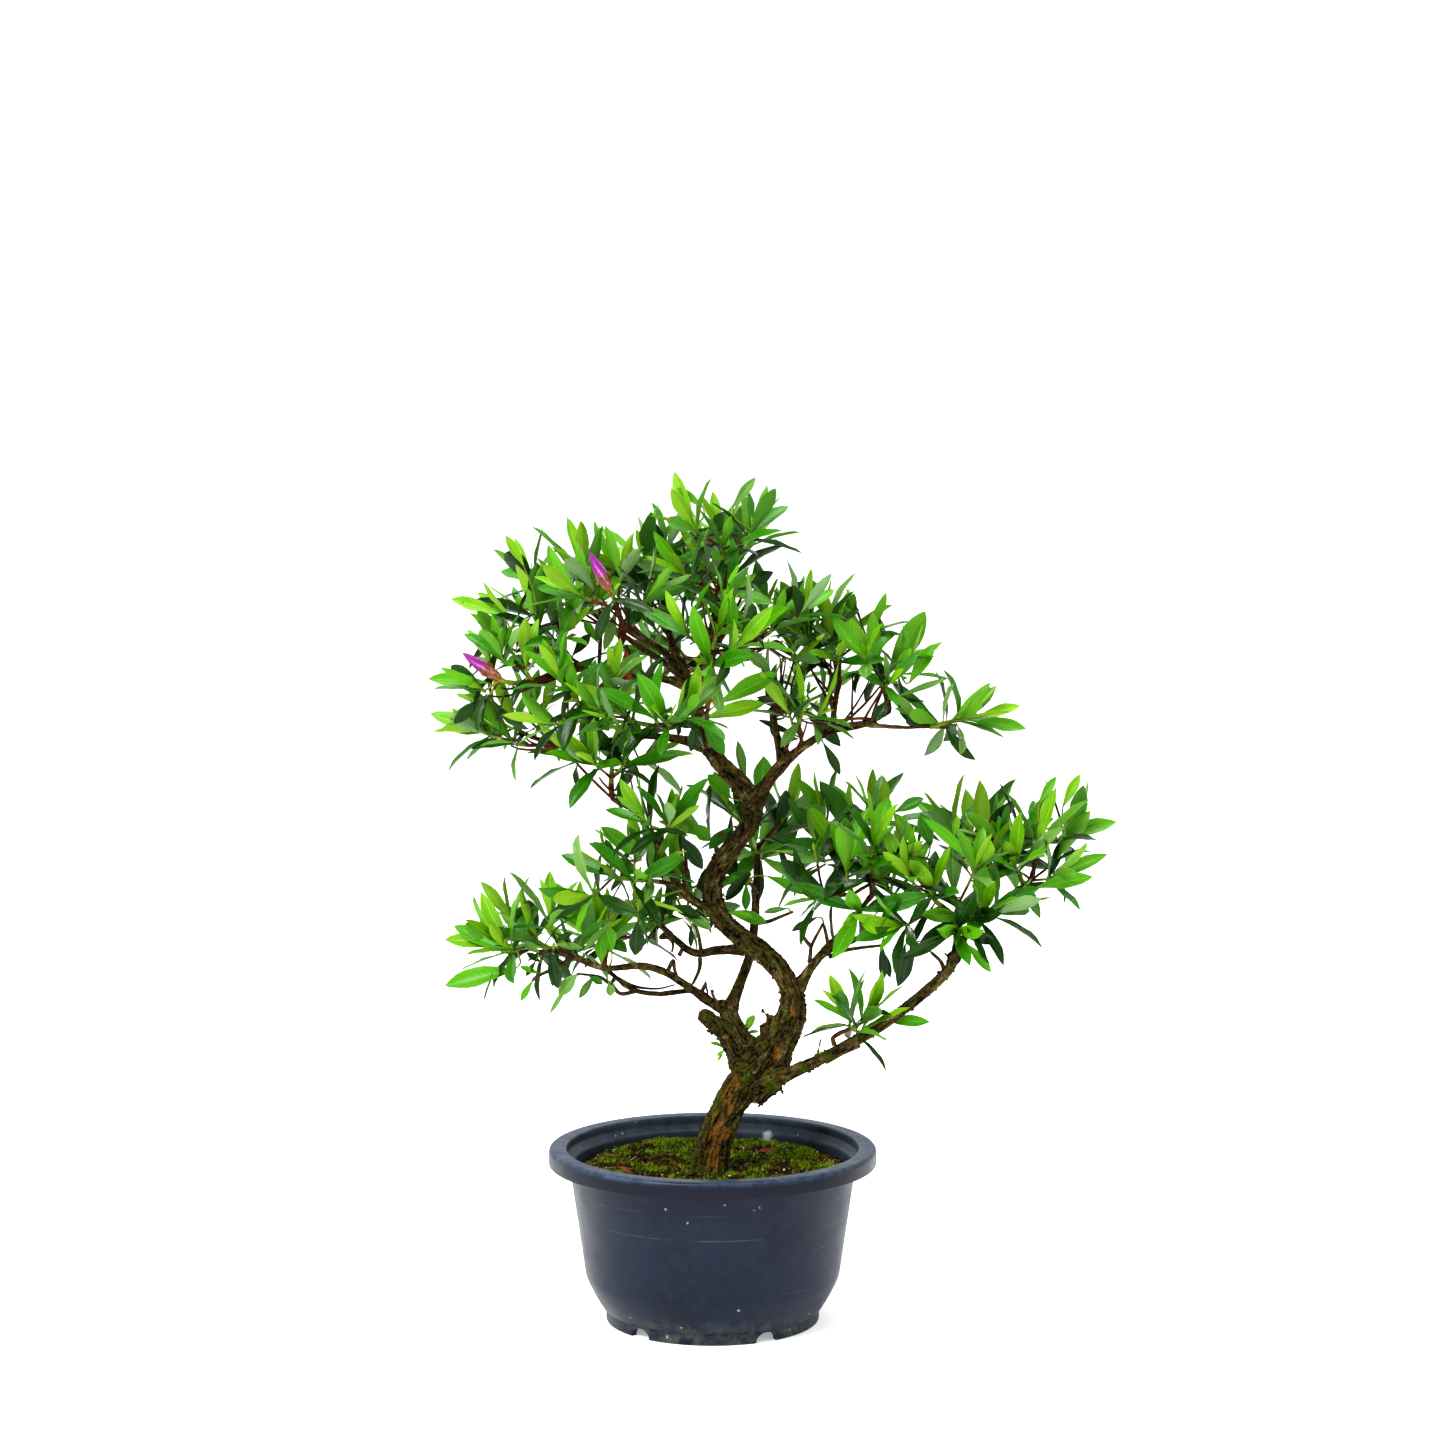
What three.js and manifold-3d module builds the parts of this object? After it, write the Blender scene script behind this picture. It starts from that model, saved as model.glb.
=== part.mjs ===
// A dwarf azalea trained as a small bonsai, standing in its round plastic training pot.
// Millimetres, +Z up. The origin is the middle of the pot's flat underside.
import * as THREE from "three";
import { mergeVertices } from "three/addons/utils/BufferGeometryUtils.js";
import Module from "manifold-3d";

const wasm = await Module();
wasm.setup();

// Pot: a thin wall on a ring foot, under a broad hollow lip
const POT_SIDES = 32;
const POT_HEIGHT = 96;
const POT_WALL = 2.6;
const RIM_RADIUS = 90;
const RIM_INNER_RADIUS = 80.2;
const RIM_EDGE = 1.5;
const LIP_HEIGHT = 9;
const LIP_WALL = 2.2;
const LEDGE_DROP = 7;
const WALL_TOP_RADIUS = 78.8;
const SHOULDER_RADIUS = 69.8;
const SHOULDER_HEIGHT = 25;
const SHOULDER_BULGE = [67.5, 14.5];
const FOOT_RADIUS = 58.6;
const FOOT_WALL = 4;
const FOOT_STEP = 1.4;
const FOOT_HEIGHT = 7;
const FLOOR_UNDER = 5;
const FLOOR_THICKNESS = 3;
const BOSS_RADIUS = 12;
const NOTCH_COUNT = 5;
const NOTCH_WIDTH = 13;
const NOTCH_HEIGHT = 5.5;
const NOTCH_TURN = 30;
const DRAIN_COUNT = 5;
const DRAIN_RADIUS = 4.5;
const DRAIN_RING = 34;

// Soil, the gap that neighbouring pieces keep and the shortest edge that a fused piece may have
const GAP = 0.3;
const SHORTEST_EDGE = 0.0025;
const FUSE_ATTEMPTS = 6;
const SOIL_TOP = 85.3;
const SOIL_FLAT_RADIUS = 30;
const SOIL_FALL = 1.6;

// Limbs: rings in every span of a centre line, sides, and the roots' flare at the trunk's foot
const SPAN_SAMPLES = 6;
const TRUNK_RING_STEP = 3;
const BOUGH_RING_STEP = 4;
const TRUNK_SIDES = 10;
const BOUGH_SIDES = 5;
const TWIG_SIDES = 3;
const FLARE_HEIGHT = 7;
const FLARE_SHARE = 0.34;
const FLARE_ROOTS = 5;

// Twigs: a shoot's twig is thin, and a twig that carries more shoots is thicker
const TWIG_RADIUS = 0.9;
const TWIG_GROWTH = 0.42;
const STEM_RADIUS = 1.6;
const TWIG_PIECE = 20;
const COLLAR = 4;
const TIP_GAP = 0.35;
const SIDE_GAP = 0.7;
const TWIG_CLEARANCE = 1.6;
const TWIG_MARGIN = 1.12;
const BUD_TIP = 2;
const LEAFY_STRETCH = 5.5;
const BUD_TIP_RADIUS = 0.5;

// Leaves: each solid leaf stands for about eight of the plant's own, so it is larger than life
const GOLDEN_ANGLE = 2.399963;
const LEAF_LENGTH = 25.5;
const LEAF_REACH = 27;
const LEAF_CLEARANCE = 0.8;
const LEAF_MARGIN = 1.03;
const SOLID_LENGTH_SHARE = 1.25;
const SOLID_WIDTH_SHARE = 1.6;
const SOLID_KEEL = 0.45;
const LEAF_SINK = 0.3;
const LEAF_ORDER = [1, 3, 5, 7, 2, 6, 4, 8, 0, 9];
const LEAVES_A_SHOOT = 2;

// Flower buds, still closed
const FLOWER_LENGTH = 25;
const FLOWER_RADIUS = 3.2;
const FLOWER_SIDES = 6;

// Centre lines of the limbs, foot to tip: x, y, z and radius
const LIMBS = {
  trunk: [
    [-2.5, -14, 81.2, 9.6], [-0.9, -14, 92.3, 9.3], [2.9, -12, 105.7, 8.8], [8.4, -10, 119.2, 8.5],
    [16.6, -6, 132.8, 9], [27.5, -4, 143.4, 9.8], [36.8, -6, 156, 9.3], [42.2, -8, 168.6, 8],
    [43.8, -8, 177.9, 6.5], [41.1, -6, 187.5, 5.7], [30.8, 0, 200.3, 5.5], [15.5, 5, 211.6, 5.3],
    [4, 6, 222.6, 5.4], [-0.3, 4, 235.6, 5.4], [3.5, 0, 250.5, 5.2], [13.3, -5, 264.3, 5.1],
    [21.4, -8, 277.3, 5.2], [21.4, -7, 288.1, 5.2], [14.3, -5, 297.6, 4.8], [4.6, -2, 307.1, 4.6],
    [-3.6, 2, 318.7, 4.4], [-7.9, 5, 332.1, 3.8], [-11.2, 7, 345.6, 3.5], [-17.2, 8, 358.6, 3],
  ],
  left_trunk: [
    [23.2, -3, 141, 8.4], [15.5, 3, 151, 7.8], [10.6, 8, 160.6, 6.2], [8.4, 12, 170.4, 4.6],
  ],
  cut_stub: [
    [13.9, 4, 151.9, 5.4], [4.6, -1, 161.2, 4.8], [-5.8, -7, 170.6, 3.8],
  ],
  back_stem: [
    [9.5, 12, 170.4, 3], [16.2, 22, 185.4, 2.8], [21.2, 30, 199.8, 2.6], [23.5, 36, 218.5, 2.4],
    [24.6, 42, 237.3, 2.1], [24.7, 46, 249.1, 1.9],
  ],
  low_left_bough: [
    [8.4, 12, 169.3, 2.6], [0.7, 10, 173, 2.4], [-12.4, 4, 183, 2.2], [-26, -4, 193.2, 2.1],
    [-39.5, -9, 197.4, 2], [-58.3, -14, 197.1, 1.8], [-76.1, -16, 203.5, 1.5],
  ],
  low_left_under: [
    [-5.3, 9, 177.1, 1.6], [-12.5, 16, 179.2, 1.5], [-31.5, 26, 175.8, 1.5], [-46.1, 32, 178.1, 1.4],
    [-56.7, 34, 186.2, 1.3],
  ],
  side_left_bough: [
    [17.2, 4, 204.6, 2.6], [4, 9, 203.2, 2.5], [-9.7, 15, 200.6, 2.3], [-20.3, 22, 206.7, 1.9],
    [-27, 27, 212.6, 1.6],
  ],
  rising_left_bough: [
    [3.5, 6, 223.1, 2.6], [-10.7, -4, 232.9, 2.3], [-18.2, -10, 240.9, 2.3], [-25.7, -16, 256, 2],
    [-32.6, -20, 269.5, 1.8], [-41.2, -20, 282.6, 1.6], [-49.8, -19, 287.9, 1.4],
  ],
  rising_left_twig: [
    [-17.6, -10, 240.4, 1.6], [-26.2, -18, 244.3, 1.4], [-36.9, -22, 246.5, 1.3],
  ],
  high_left_bough: [
    [-4.1, 2, 317.1, 3.2], [-19.7, -8, 321.4, 2.4], [-39, -16, 323.8, 1.9], [-60.4, -19, 320.9, 1.6],
    [-78.9, -14, 319.3, 1.4],
  ],
  right_bough: [
    [21.4, -8, 283.8, 3.8], [28.4, -10, 296, 3.3], [37, -11, 307, 3], [48.8, -14, 317.7, 2.4],
    [63.8, -16, 326.5, 2.1], [80.5, -14, 329.6, 2], [91.5, -10, 334.6, 1.7],
  ],
  right_bough_up: [
    [38.6, -11, 308.1, 2.4], [34.9, -6, 323.4, 2.2], [33.3, 0, 334.7, 2], [41, 4, 341.5, 1.7],
    [47, 6, 348.9, 1.5],
  ],
  right_upper_twig: [
    [64.9, -16, 326.5, 1.8], [65.6, -8, 337.1, 1.6], [68.1, 2, 348.2, 1.5],
  ],
  right_far_twig: [
    [82.7, -14, 330.1, 1.2], [98.4, -12, 328.3, 1.1], [110, -10.6, 328, 1], [117, -9.8, 328.3, 0.95],
  ],
  low_right_bough: [
    [22.6, -6, 130.5, 7.4], [30.8, -9, 133.9, 5.4], [40.5, -13, 138.6, 3.6], [56.6, -20, 147.2, 3.1],
    [75.8, -28, 159.1, 3], [96.7, -30, 172.6, 2.9], [114.5, -28, 186.4, 2.8], [128.1, -24, 199.4, 2.9],
    [132.1, -20, 211.3, 2.4], [130.9, -20, 221.7, 2],
  ],
  low_right_far: [
    [131.6, -20, 208, 2], [141.8, -12, 220.4, 1.7], [156.5, -4, 230.1, 1.5], [169.8, 0, 240, 1.3],
  ],
  mid_right_bough: [
    [43.8, -6, 180.3, 3], [54.2, -3, 196.4, 2.6], [63.6, 2, 204.9, 2.4], [76.8, 4, 209.6, 2],
  ],
  mid_right_back: [
    [60.8, 0, 203.1, 1.9], [74.4, 14, 216.3, 1.7], [85.9, 26, 228.4, 1.5],
  ],
  top_left_fork: [
    [-16.1, 8, 356.4, 2.2], [-26.3, -2, 368.1, 2], [-36.2, -14, 375.5, 1.7], [-45, -26, 382.7, 1.5],
  ],
  top_mid_fork: [
    [-16.6, 8, 358, 2.4], [-21, 10, 368.3, 2.2], [-24.3, 11, 380.2, 1.8], [-26.4, 10, 392.3, 1.5],
  ],
  top_right_fork: [
    [-9.6, 7, 341.2, 2.6], [-4.7, 5, 354.5, 2.3], [-3, 0, 369, 2.1], [0.3, -6, 384.6, 1.8],
    [2.4, -12, 396.9, 1.5],
  ],
  top_back_fork: [
    [-11.2, 7, 345.6, 2.4], [-3.6, 20, 357.6, 2.1], [4, 32, 372.1, 1.8], [9.5, 40, 387.1, 1.5],
  ],
  top_back_left: [
    [-14.5, 8, 353.1, 2.2], [-28.9, 22, 361.9, 1.9], [-45.6, 32, 372.1, 1.7], [-62.3, 38, 383.9, 1.5],
  ],
  shoulder_fork: [
    [-4.1, 4, 358.9, 1.8], [8.4, -4, 366.6, 1.6], [20.2, -12, 373.7, 1.4],
  ],
  left_fork: [
    [-12.3, 6, 347.8, 2.2], [-28.4, -4, 354.1, 1.9], [-49.7, -14, 357.1, 1.7], [-71.1, -16, 360.5, 1.5],
    [-84.1, -14, 367.4, 1.4],
  ],
};

// Masses of foliage: the limb that carries each and where along it, the middle of its space, the
// spread of its shoots, how many shoots it has, how strongly they rise, and its seed
const MASSES = [
  {
    name: "apex_front", limb: "top_right_fork", centre: [6, -24, 424],
    spread: [26, 20, 22], shoots: 5, seed: 686,
  },
  {
    name: "apex_back", limb: "top_back_fork", centre: [12, 44, 410],
    spread: [24, 18, 22], shoots: 4, seed: 181,
  },
  {
    name: "bud_spray_upper", limb: "top_left_fork", centre: [-53, -46, 402],
    spread: [20, 16, 14], shoots: 4, seed: 192, bud: true, aim: [-0.45, -0.15, 0.88],
  },
  {
    name: "crown_left_mid", limb: "top_mid_fork", centre: [-33, 8, 412],
    spread: [22, 20, 18], shoots: 4, seed: 75,
  },
  {
    name: "crown_left_back", limb: "top_back_left", centre: [-81, 40, 396],
    spread: [28, 20, 18], shoots: 4, seed: 156,
  },
  {
    name: "left_high", limb: "left_fork", centre: [-94, -8, 381],
    spread: [24, 22, 18], shoots: 5, seed: 845,
  },
  {
    name: "bud_spray_left", limb: "left_fork", at: 0.8, centre: [-112, -38, 356],
    spread: [18, 14, 14], shoots: 4, seed: 440, bud: true, aim: [-0.8, -0.15, 0.58],
  },
  {
    name: "left_low", limb: "high_left_bough", centre: [-106, 0, 327],
    spread: [24, 20, 13], shoots: 4, seed: 597,
  },
  {
    name: "left_inner", limb: "left_fork", at: 0.55, centre: [-71, -48, 345],
    spread: [22, 16, 16], shoots: 4, seed: 211,
  },
  {
    name: "front_row", limb: "trunk", at: 0.9, centre: [-30, -72, 339],
    spread: [32, 12, 10], shoots: 5, seed: 643,
  },
  {
    name: "under_left", limb: "rising_left_bough", centre: [-54, -20, 311],
    spread: [22, 18, 13], shoots: 4, seed: 170, lift: 0.4,
  },
  {
    name: "crown_core", limb: "trunk", at: 0.95, centre: [2, -58, 381],
    spread: [20, 14, 18], shoots: 4, seed: 583,
  },
  {
    name: "right_shoulder", limb: "shoulder_fork", centre: [32, -22, 382],
    spread: [20, 20, 20], shoots: 4, seed: 315,
  },
  {
    name: "right_upper", limb: "right_upper_twig", centre: [65, 6, 371],
    spread: [22, 22, 20], shoots: 5, seed: 242,
  },
  {
    name: "right_mid", limb: "right_bough_up", centre: [42, 20, 368],
    spread: [14, 16, 10], shoots: 2, seed: 229,
  },
  {
    name: "right_end", limb: "right_bough", centre: [88, -6, 360],
    spread: [20, 22, 16], shoots: 4, seed: 813,
  },
  {
    name: "right_tip", limb: "right_far_twig", centre: [129, -8, 331],
    spread: [8, 8, 5], shoots: 2, seed: 763, lift: 0.5, more: 2,
  },
  {
    name: "right_small", limb: "right_bough", at: 0.42, centre: [48, -30, 337],
    spread: [10, 8, 6], shoots: 2, seed: 870,
  },
  {
    name: "left_low_end", limb: "low_left_bough", centre: [-94, -14, 211],
    spread: [28, 22, 17], shoots: 5, seed: 779,
  },
  {
    name: "left_low_back", limb: "low_left_under", centre: [-58, 34, 204],
    spread: [22, 20, 18], shoots: 4, seed: 336,
  },
  {
    name: "left_rise_front", limb: "rising_left_bough", at: 0.66, centre: [-23, -46, 280],
    spread: [12, 12, 10], shoots: 2, seed: 804,
  },
  {
    name: "left_rise_mid", limb: "rising_left_twig", centre: [-52, -26, 249],
    spread: [22, 18, 16], shoots: 4, seed: 183,
  },
  {
    name: "left_inner_low", limb: "side_left_bough", centre: [-22, 36, 230],
    spread: [20, 18, 20], shoots: 4, seed: 600,
  },
  {
    name: "back_stem_mass", limb: "back_stem", centre: [20, 54, 264],
    spread: [30, 22, 20], shoots: 5, seed: 443,
  },
  {
    name: "right_low_inner", limb: "mid_right_bough", centre: [72, -30, 251],
    spread: [26, 20, 24], shoots: 5, seed: 229,
  },
  {
    name: "right_low_back", limb: "mid_right_back", centre: [80, 38, 261],
    spread: [30, 24, 18], shoots: 5, seed: 446,
  },
  {
    name: "right_low_front", limb: "low_right_bough", centre: [118, -32, 239],
    spread: [28, 20, 22], shoots: 5, seed: 262,
  },
  {
    name: "right_low_upper", limb: "low_right_far", at: 0.45, centre: [149, 24, 258],
    spread: [26, 22, 18], shoots: 5, seed: 242,
  },
  {
    name: "right_low_end", limb: "low_right_far", centre: [177, 0, 261],
    spread: [20, 18, 18], shoots: 4, seed: 833,
  },
  {
    name: "right_low_side", limb: "low_right_far", at: 0.3, centre: [145, -22, 227],
    spread: [14, 12, 8], shoots: 2, seed: 748, lift: 0.15,
  },
  {
    name: "low_shoot", limb: "low_right_bough", at: 0.4, centre: [81, -34, 172],
    spread: [8, 8, 6], shoots: 2, seed: 857,
  },
  {
    name: "crown_back", limb: "top_back_fork", at: 0.45, centre: [-18, 68, 363],
    spread: [28, 14, 20], shoots: 4, seed: 100,
  },
  {
    name: "right_back", limb: "right_bough_up", at: 0.5, centre: [47, 52, 340],
    spread: [20, 16, 14], shoots: 4, seed: 230,
  },
];

const bark = new THREE.MeshStandardMaterial({ color: 0x5b4530, roughness: 0.9, metalness: 0 });
const foliage = new THREE.MeshStandardMaterial({ color: 0x4a8a2a, roughness: 0.5, metalness: 0 });
const plastic = new THREE.MeshStandardMaterial({ color: 0x2f3a4b, roughness: 0.45, metalness: 0 });
const earth = new THREE.MeshStandardMaterial({ color: 0x3f4722, roughness: 0.95, metalness: 0 });

const plant = new THREE.Group();

function addPart(name, geometry, material) {
  geometry.computeVertexNormals();
  const mesh = new THREE.Mesh(geometry, material);
  mesh.name = name;
  plant.add(mesh);
}

// A closed surface keeps only its places and faces, with every shared corner merged
function closedSurface(geometry) {
  const bare = geometry.clone();
  bare.deleteAttribute("normal");
  bare.deleteAttribute("uv");
  return mergeVertices(bare, 1e-4);
}

function solidOf(geometry) {
  const closed = closedSurface(geometry);
  return new wasm.Manifold(new wasm.Mesh({
    numProp: 3,
    vertProperties: new Float32Array(closed.attributes.position.array),
    triVerts: new Uint32Array(closed.index.array),
  }));
}

// The largest closed skin of a solid: a loose scrap is left out and a sealed hollow is filled
function outerSkin(solid) {
  const { vertProperties, triVerts } = solid.getMesh();
  const owner = Array.from({ length: vertProperties.length / 3 }, (_, k) => k);
  const find = (k) => {
    while (owner[k] !== k) {
      owner[k] = owner[owner[k]];
      k = owner[k];
    }
    return k;
  };
  for (let t = 0; t < triVerts.length; t += 3) {
    owner[find(triVerts[t + 1])] = find(triVerts[t]);
    owner[find(triVerts[t + 2])] = find(triVerts[t]);
  }
  const corner = (k) => new THREE.Vector3().fromArray(vertProperties, 3 * k);
  const volumes = new Map();
  for (let t = 0; t < triVerts.length; t += 3) {
    const [a, b, c] = [corner(triVerts[t]), corner(triVerts[t + 1]), corner(triVerts[t + 2])];
    const skin = find(triVerts[t]);
    volumes.set(skin, (volumes.get(skin) ?? 0) + a.dot(b.cross(c)) / 6);
  }
  const largest = [...volumes].reduce((a, b) => (b[1] > a[1] ? b : a))[0];
  const skin = new THREE.BufferGeometry();
  skin.setAttribute("position", new THREE.BufferAttribute(new Float32Array(vertProperties), 3));
  skin.setIndex([...triVerts].filter((_, k) => find(triVerts[k - (k % 3)]) === largest));
  return mergeVertices(skin.toNonIndexed(), 1e-4);
}

function shortestEdge(solid) {
  const { vertProperties, triVerts } = solid.getMesh();
  let shortest = Infinity;
  for (let k = 0; k < triVerts.length; k++) {
    const [a, b] = [3 * triVerts[k], 3 * triVerts[k % 3 === 2 ? k - 2 : k + 1]];
    const step = [0, 1, 2].map((axis) => vertProperties[a + axis] - vertProperties[b + axis]);
    shortest = Math.min(shortest, Math.hypot(...step));
  }
  return shortest;
}

// A piece is made and fused on a little differently until no edge is too short to keep its ends apart
function fuse(solid, makePiece) {
  for (let attempt = 0; attempt < FUSE_ATTEMPTS; attempt++) {
    const joined = solid.add(makePiece(attempt));
    if (shortestEdge(joined) > SHORTEST_EDGE) return joined;
  }
  return solid;
}

// The pot

const LIP_UNDER = POT_HEIGHT - LIP_HEIGHT;
const LEDGE = POT_HEIGHT - LEDGE_DROP;
const FLOOR_TOP = FLOOR_UNDER + FLOOR_THICKNESS;

function lathe(outline) {
  const points = outline.map(([r, z]) => new THREE.Vector2(r, z));
  return new THREE.LatheGeometry(points, POT_SIDES).rotateX(Math.PI / 2);
}

// The wall's outer face at a height: straight from the shoulder to the lip
function wallRadius(z) {
  const share = (z - SHOULDER_HEIGHT) / (LIP_UNDER - SHOULDER_HEIGHT);
  return SHOULDER_RADIUS + (WALL_TOP_RADIUS - SHOULDER_RADIUS) * share;
}

// The shoulder's outer face, a curve from the foot up to the straight wall
function shoulder() {
  const curve = new THREE.QuadraticBezierCurve(
    new THREE.Vector2(FOOT_RADIUS + FOOT_STEP, FOOT_HEIGHT),
    new THREE.Vector2(...SHOULDER_BULGE),
    new THREE.Vector2(SHOULDER_RADIUS, SHOULDER_HEIGHT),
  );
  return curve.getPoints(3).map(({ x, y }) => [x, y]);
}

// The inside of floor, shoulder and wall up to a height, set in by a gap
function inside(top, gap) {
  const inset = POT_WALL + gap;
  return [
    [0, FLOOR_TOP + gap],
    [FOOT_RADIUS - gap, FLOOR_TOP + gap],
    [SHOULDER_RADIUS - inset, SHOULDER_HEIGHT],
    [wallRadius(top) - inset, top],
  ];
}

function potBody() {
  const outline = [
    [0, 0],
    [BOSS_RADIUS, 0],
    [BOSS_RADIUS, FLOOR_UNDER],
    [FOOT_RADIUS - FOOT_WALL, FLOOR_UNDER],
    [FOOT_RADIUS - FOOT_WALL, 0],
    [FOOT_RADIUS, 0],
    [FOOT_RADIUS, FOOT_HEIGHT],
    ...shoulder(),
    [WALL_TOP_RADIUS, LIP_UNDER],
    [RIM_INNER_RADIUS + LIP_WALL, LEDGE],
    [RIM_INNER_RADIUS + LIP_WALL, POT_HEIGHT - LIP_WALL],
    [RIM_RADIUS - LIP_WALL, POT_HEIGHT - LIP_WALL],
    [RIM_RADIUS - LIP_WALL, LIP_UNDER],
    [RIM_RADIUS, LIP_UNDER],
    [RIM_RADIUS, POT_HEIGHT - RIM_EDGE],
    [RIM_RADIUS - RIM_EDGE, POT_HEIGHT],
    [RIM_INNER_RADIUS, POT_HEIGHT],
    [RIM_INNER_RADIUS, LEDGE + LIP_WALL],
    ...inside(LIP_UNDER, 0).reverse(),
  ];
  return solidOf(lathe(outline));
}

// An arched opening that runs outwards through the foot ring
function notch(turn) {
  const arch = new THREE.Shape();
  arch.moveTo(-NOTCH_WIDTH / 2, -1);
  arch.lineTo(NOTCH_WIDTH / 2, -1);
  arch.lineTo(NOTCH_WIDTH / 2, 0.5);
  arch.absellipse(0, 0.5, NOTCH_WIDTH / 2, NOTCH_HEIGHT - 0.5, 0, Math.PI, false, 0);
  const depth = FOOT_WALL + 4;
  const cutter = new THREE.ExtrudeGeometry(arch, { depth, bevelEnabled: false, curveSegments: 6 });
  cutter.rotateX(Math.PI / 2);
  cutter.translate(0, -(FOOT_RADIUS - FOOT_WALL - 2), 0);
  return solidOf(cutter.rotateZ(turn));
}

function drain(turn) {
  const cutter = new THREE.CylinderGeometry(DRAIN_RADIUS, DRAIN_RADIUS, 4 * FLOOR_THICKNESS, 8);
  cutter.rotateX(Math.PI / 2).translate(0, -DRAIN_RING, FLOOR_TOP);
  return solidOf(cutter.rotateZ(turn));
}

function makePot() {
  let pot = potBody();
  for (let k = 0; k < NOTCH_COUNT; k++) {
    pot = pot.subtract(notch(THREE.MathUtils.degToRad(NOTCH_TURN) + (2 * Math.PI * k) / NOTCH_COUNT));
  }
  for (let k = 0; k < DRAIN_COUNT; k++) {
    pot = pot.subtract(drain((2 * Math.PI * (k + 0.5)) / DRAIN_COUNT));
  }
  addPart("pot", outerSkin(pot), plastic);
}

function makeSoil() {
  const side = inside(SOIL_TOP - SOIL_FALL, GAP);
  addPart("soil", closedSurface(lathe([...side, [SOIL_FLAT_RADIUS, SOIL_TOP], [0, SOIL_TOP]])), earth);
}

// Trunk and boughs

// A limb's centre line as a row of places and radii
function centreLine(rows) {
  const spline = (points) => new THREE.CatmullRomCurve3(points, false, "catmullrom", 0.5);
  const places = spline(rows.map(([x, y, z]) => new THREE.Vector3(x, y, z)));
  const sizes = spline(rows.map((row) => new THREE.Vector3(row[3], 0, 0)));
  const steps = SPAN_SAMPLES * (rows.length - 1);
  return Array.from({ length: steps + 1 }, (_, k) => ({
    point: places.getPoint(k / steps),
    radius: sizes.getPoint(k / steps).x,
  }));
}

// A cylinder bent along rings, each with its own radius; turn spins its sides round its length
function bentTube(rings, sides, { turn = 0, swell = () => 1 } = {}) {
  const blank = new THREE.CylinderGeometry(1, 1, 1, sides, rings.length - 1, false, turn);
  const tube = closedSurface(blank);
  const last = rings.length - 1;
  const tangents = rings.map((_, k) => {
    const from = rings[Math.max(0, k - 1)].point;
    return rings[Math.min(last, k + 1)].point.clone().sub(from).normalize();
  });
  const side = new THREE.Vector3(1, 0, 0).projectOnPlane(tangents[0]);
  if (side.length() < 0.3) side.set(0, 1, 0).projectOnPlane(tangents[0]);
  const frames = tangents.map((along) => {
    side.projectOnPlane(along).normalize();
    return { side: side.clone(), other: side.clone().cross(along) };
  });
  const place = tube.attributes.position;
  for (let k = 0; k < place.count; k++) {
    const level = Math.round((place.getY(k) + 0.5) * last);
    const ring = rings[level];
    const [across, up] = [place.getX(k), place.getZ(k)];
    const radius = ring.radius * swell(ring.point.z, Math.atan2(up, across));
    const spot = ring.point.clone();
    spot.addScaledVector(frames[level].side, across * radius);
    spot.addScaledVector(frames[level].other, up * radius);
    place.setXYZ(k, spot.x, spot.y, spot.z);
  }
  return tube;
}

// Rings along a centre line, made thicker and longer by a gap where one is given
function limbRings(line, step, gap = 0) {
  const rings = line.filter((_, k) => k % step === 0 || k === line.length - 1).map(({ point, radius }) => ({
    point: point.clone(),
    radius: radius + gap,
  }));
  const tip = rings[rings.length - 1].point;
  const before = rings[rings.length - 2].point;
  tip.addScaledVector(tip.clone().sub(before).normalize(), gap);
  return rings;
}

// The trunk spreads into its roots just above the soil
function rootFlare(z, angle) {
  const fade = Math.exp(-Math.max(0, z - SOIL_TOP) / FLARE_HEIGHT);
  return 1 + FLARE_SHARE * fade * (0.55 + 0.45 * Math.cos(FLARE_ROOTS * angle));
}

function groundCutter() {
  const depth = 40;
  const block = new THREE.BoxGeometry(POT_HEIGHT, POT_HEIGHT, depth);
  return solidOf(block.translate(0, 0, SOIL_TOP + GAP - depth / 2));
}

// Each limb starts inside the one that carries it and is cut clear of every earlier limb
function makeLimbs(lines) {
  const cutters = [];
  for (const [name, line] of Object.entries(lines)) {
    const isTrunk = name === "trunk";
    const [sides, step] = isTrunk ? [TRUNK_SIDES, TRUNK_RING_STEP] : [BOUGH_SIDES, BOUGH_RING_STEP];
    const swell = isTrunk ? rootFlare : undefined;
    let limb = solidOf(bentTube(limbRings(line, step), sides, { swell }));
    if (isTrunk) limb = limb.subtract(groundCutter());
    for (const cutter of cutters) limb = limb.subtract(cutter);
    addPart(name, outerSkin(limb), bark);
    cutters.push(solidOf(bentTube(limbRings(line, step, GAP), sides, { swell })));
  }
}

// Foliage: the same numbers come from the same seed every time

function stream(seed) {
  let state = seed >>> 0;
  return () => {
    state = (state + 0x6d2b79f5) >>> 0;
    let t = state;
    t = Math.imul(t ^ (t >>> 15), t | 1) >>> 0;
    t = (t ^ (t + Math.imul(t ^ (t >>> 7), t | 61))) >>> 0;
    return ((t ^ (t >>> 14)) >>> 0) / 4294967296;
  };
}

const shake = (next) => new THREE.Vector3(next() - 0.5, next() - 0.5, next() - 0.5).multiplyScalar(0.5);

const towards = (from, to) => to.clone().sub(from).normalize();

// A smooth path between two places with a direction at each, at shares of its length
function path(from, leaving, to, arriving, shares) {
  const length = from.distanceTo(to);
  return shares.map((t) => {
    const [t2, t3] = [t * t, t * t * t];
    return from.clone().multiplyScalar(2 * t3 - 3 * t2 + 1)
      .addScaledVector(leaving, 0.8 * length * (t3 - 2 * t2 + t))
      .addScaledVector(to, -2 * t3 + 3 * t2)
      .addScaledVector(arriving, 0.7 * length * (t3 - t2));
  });
}

const shares = (count) => Array.from({ length: count }, (_, k) => (k + 1) / count);

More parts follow.
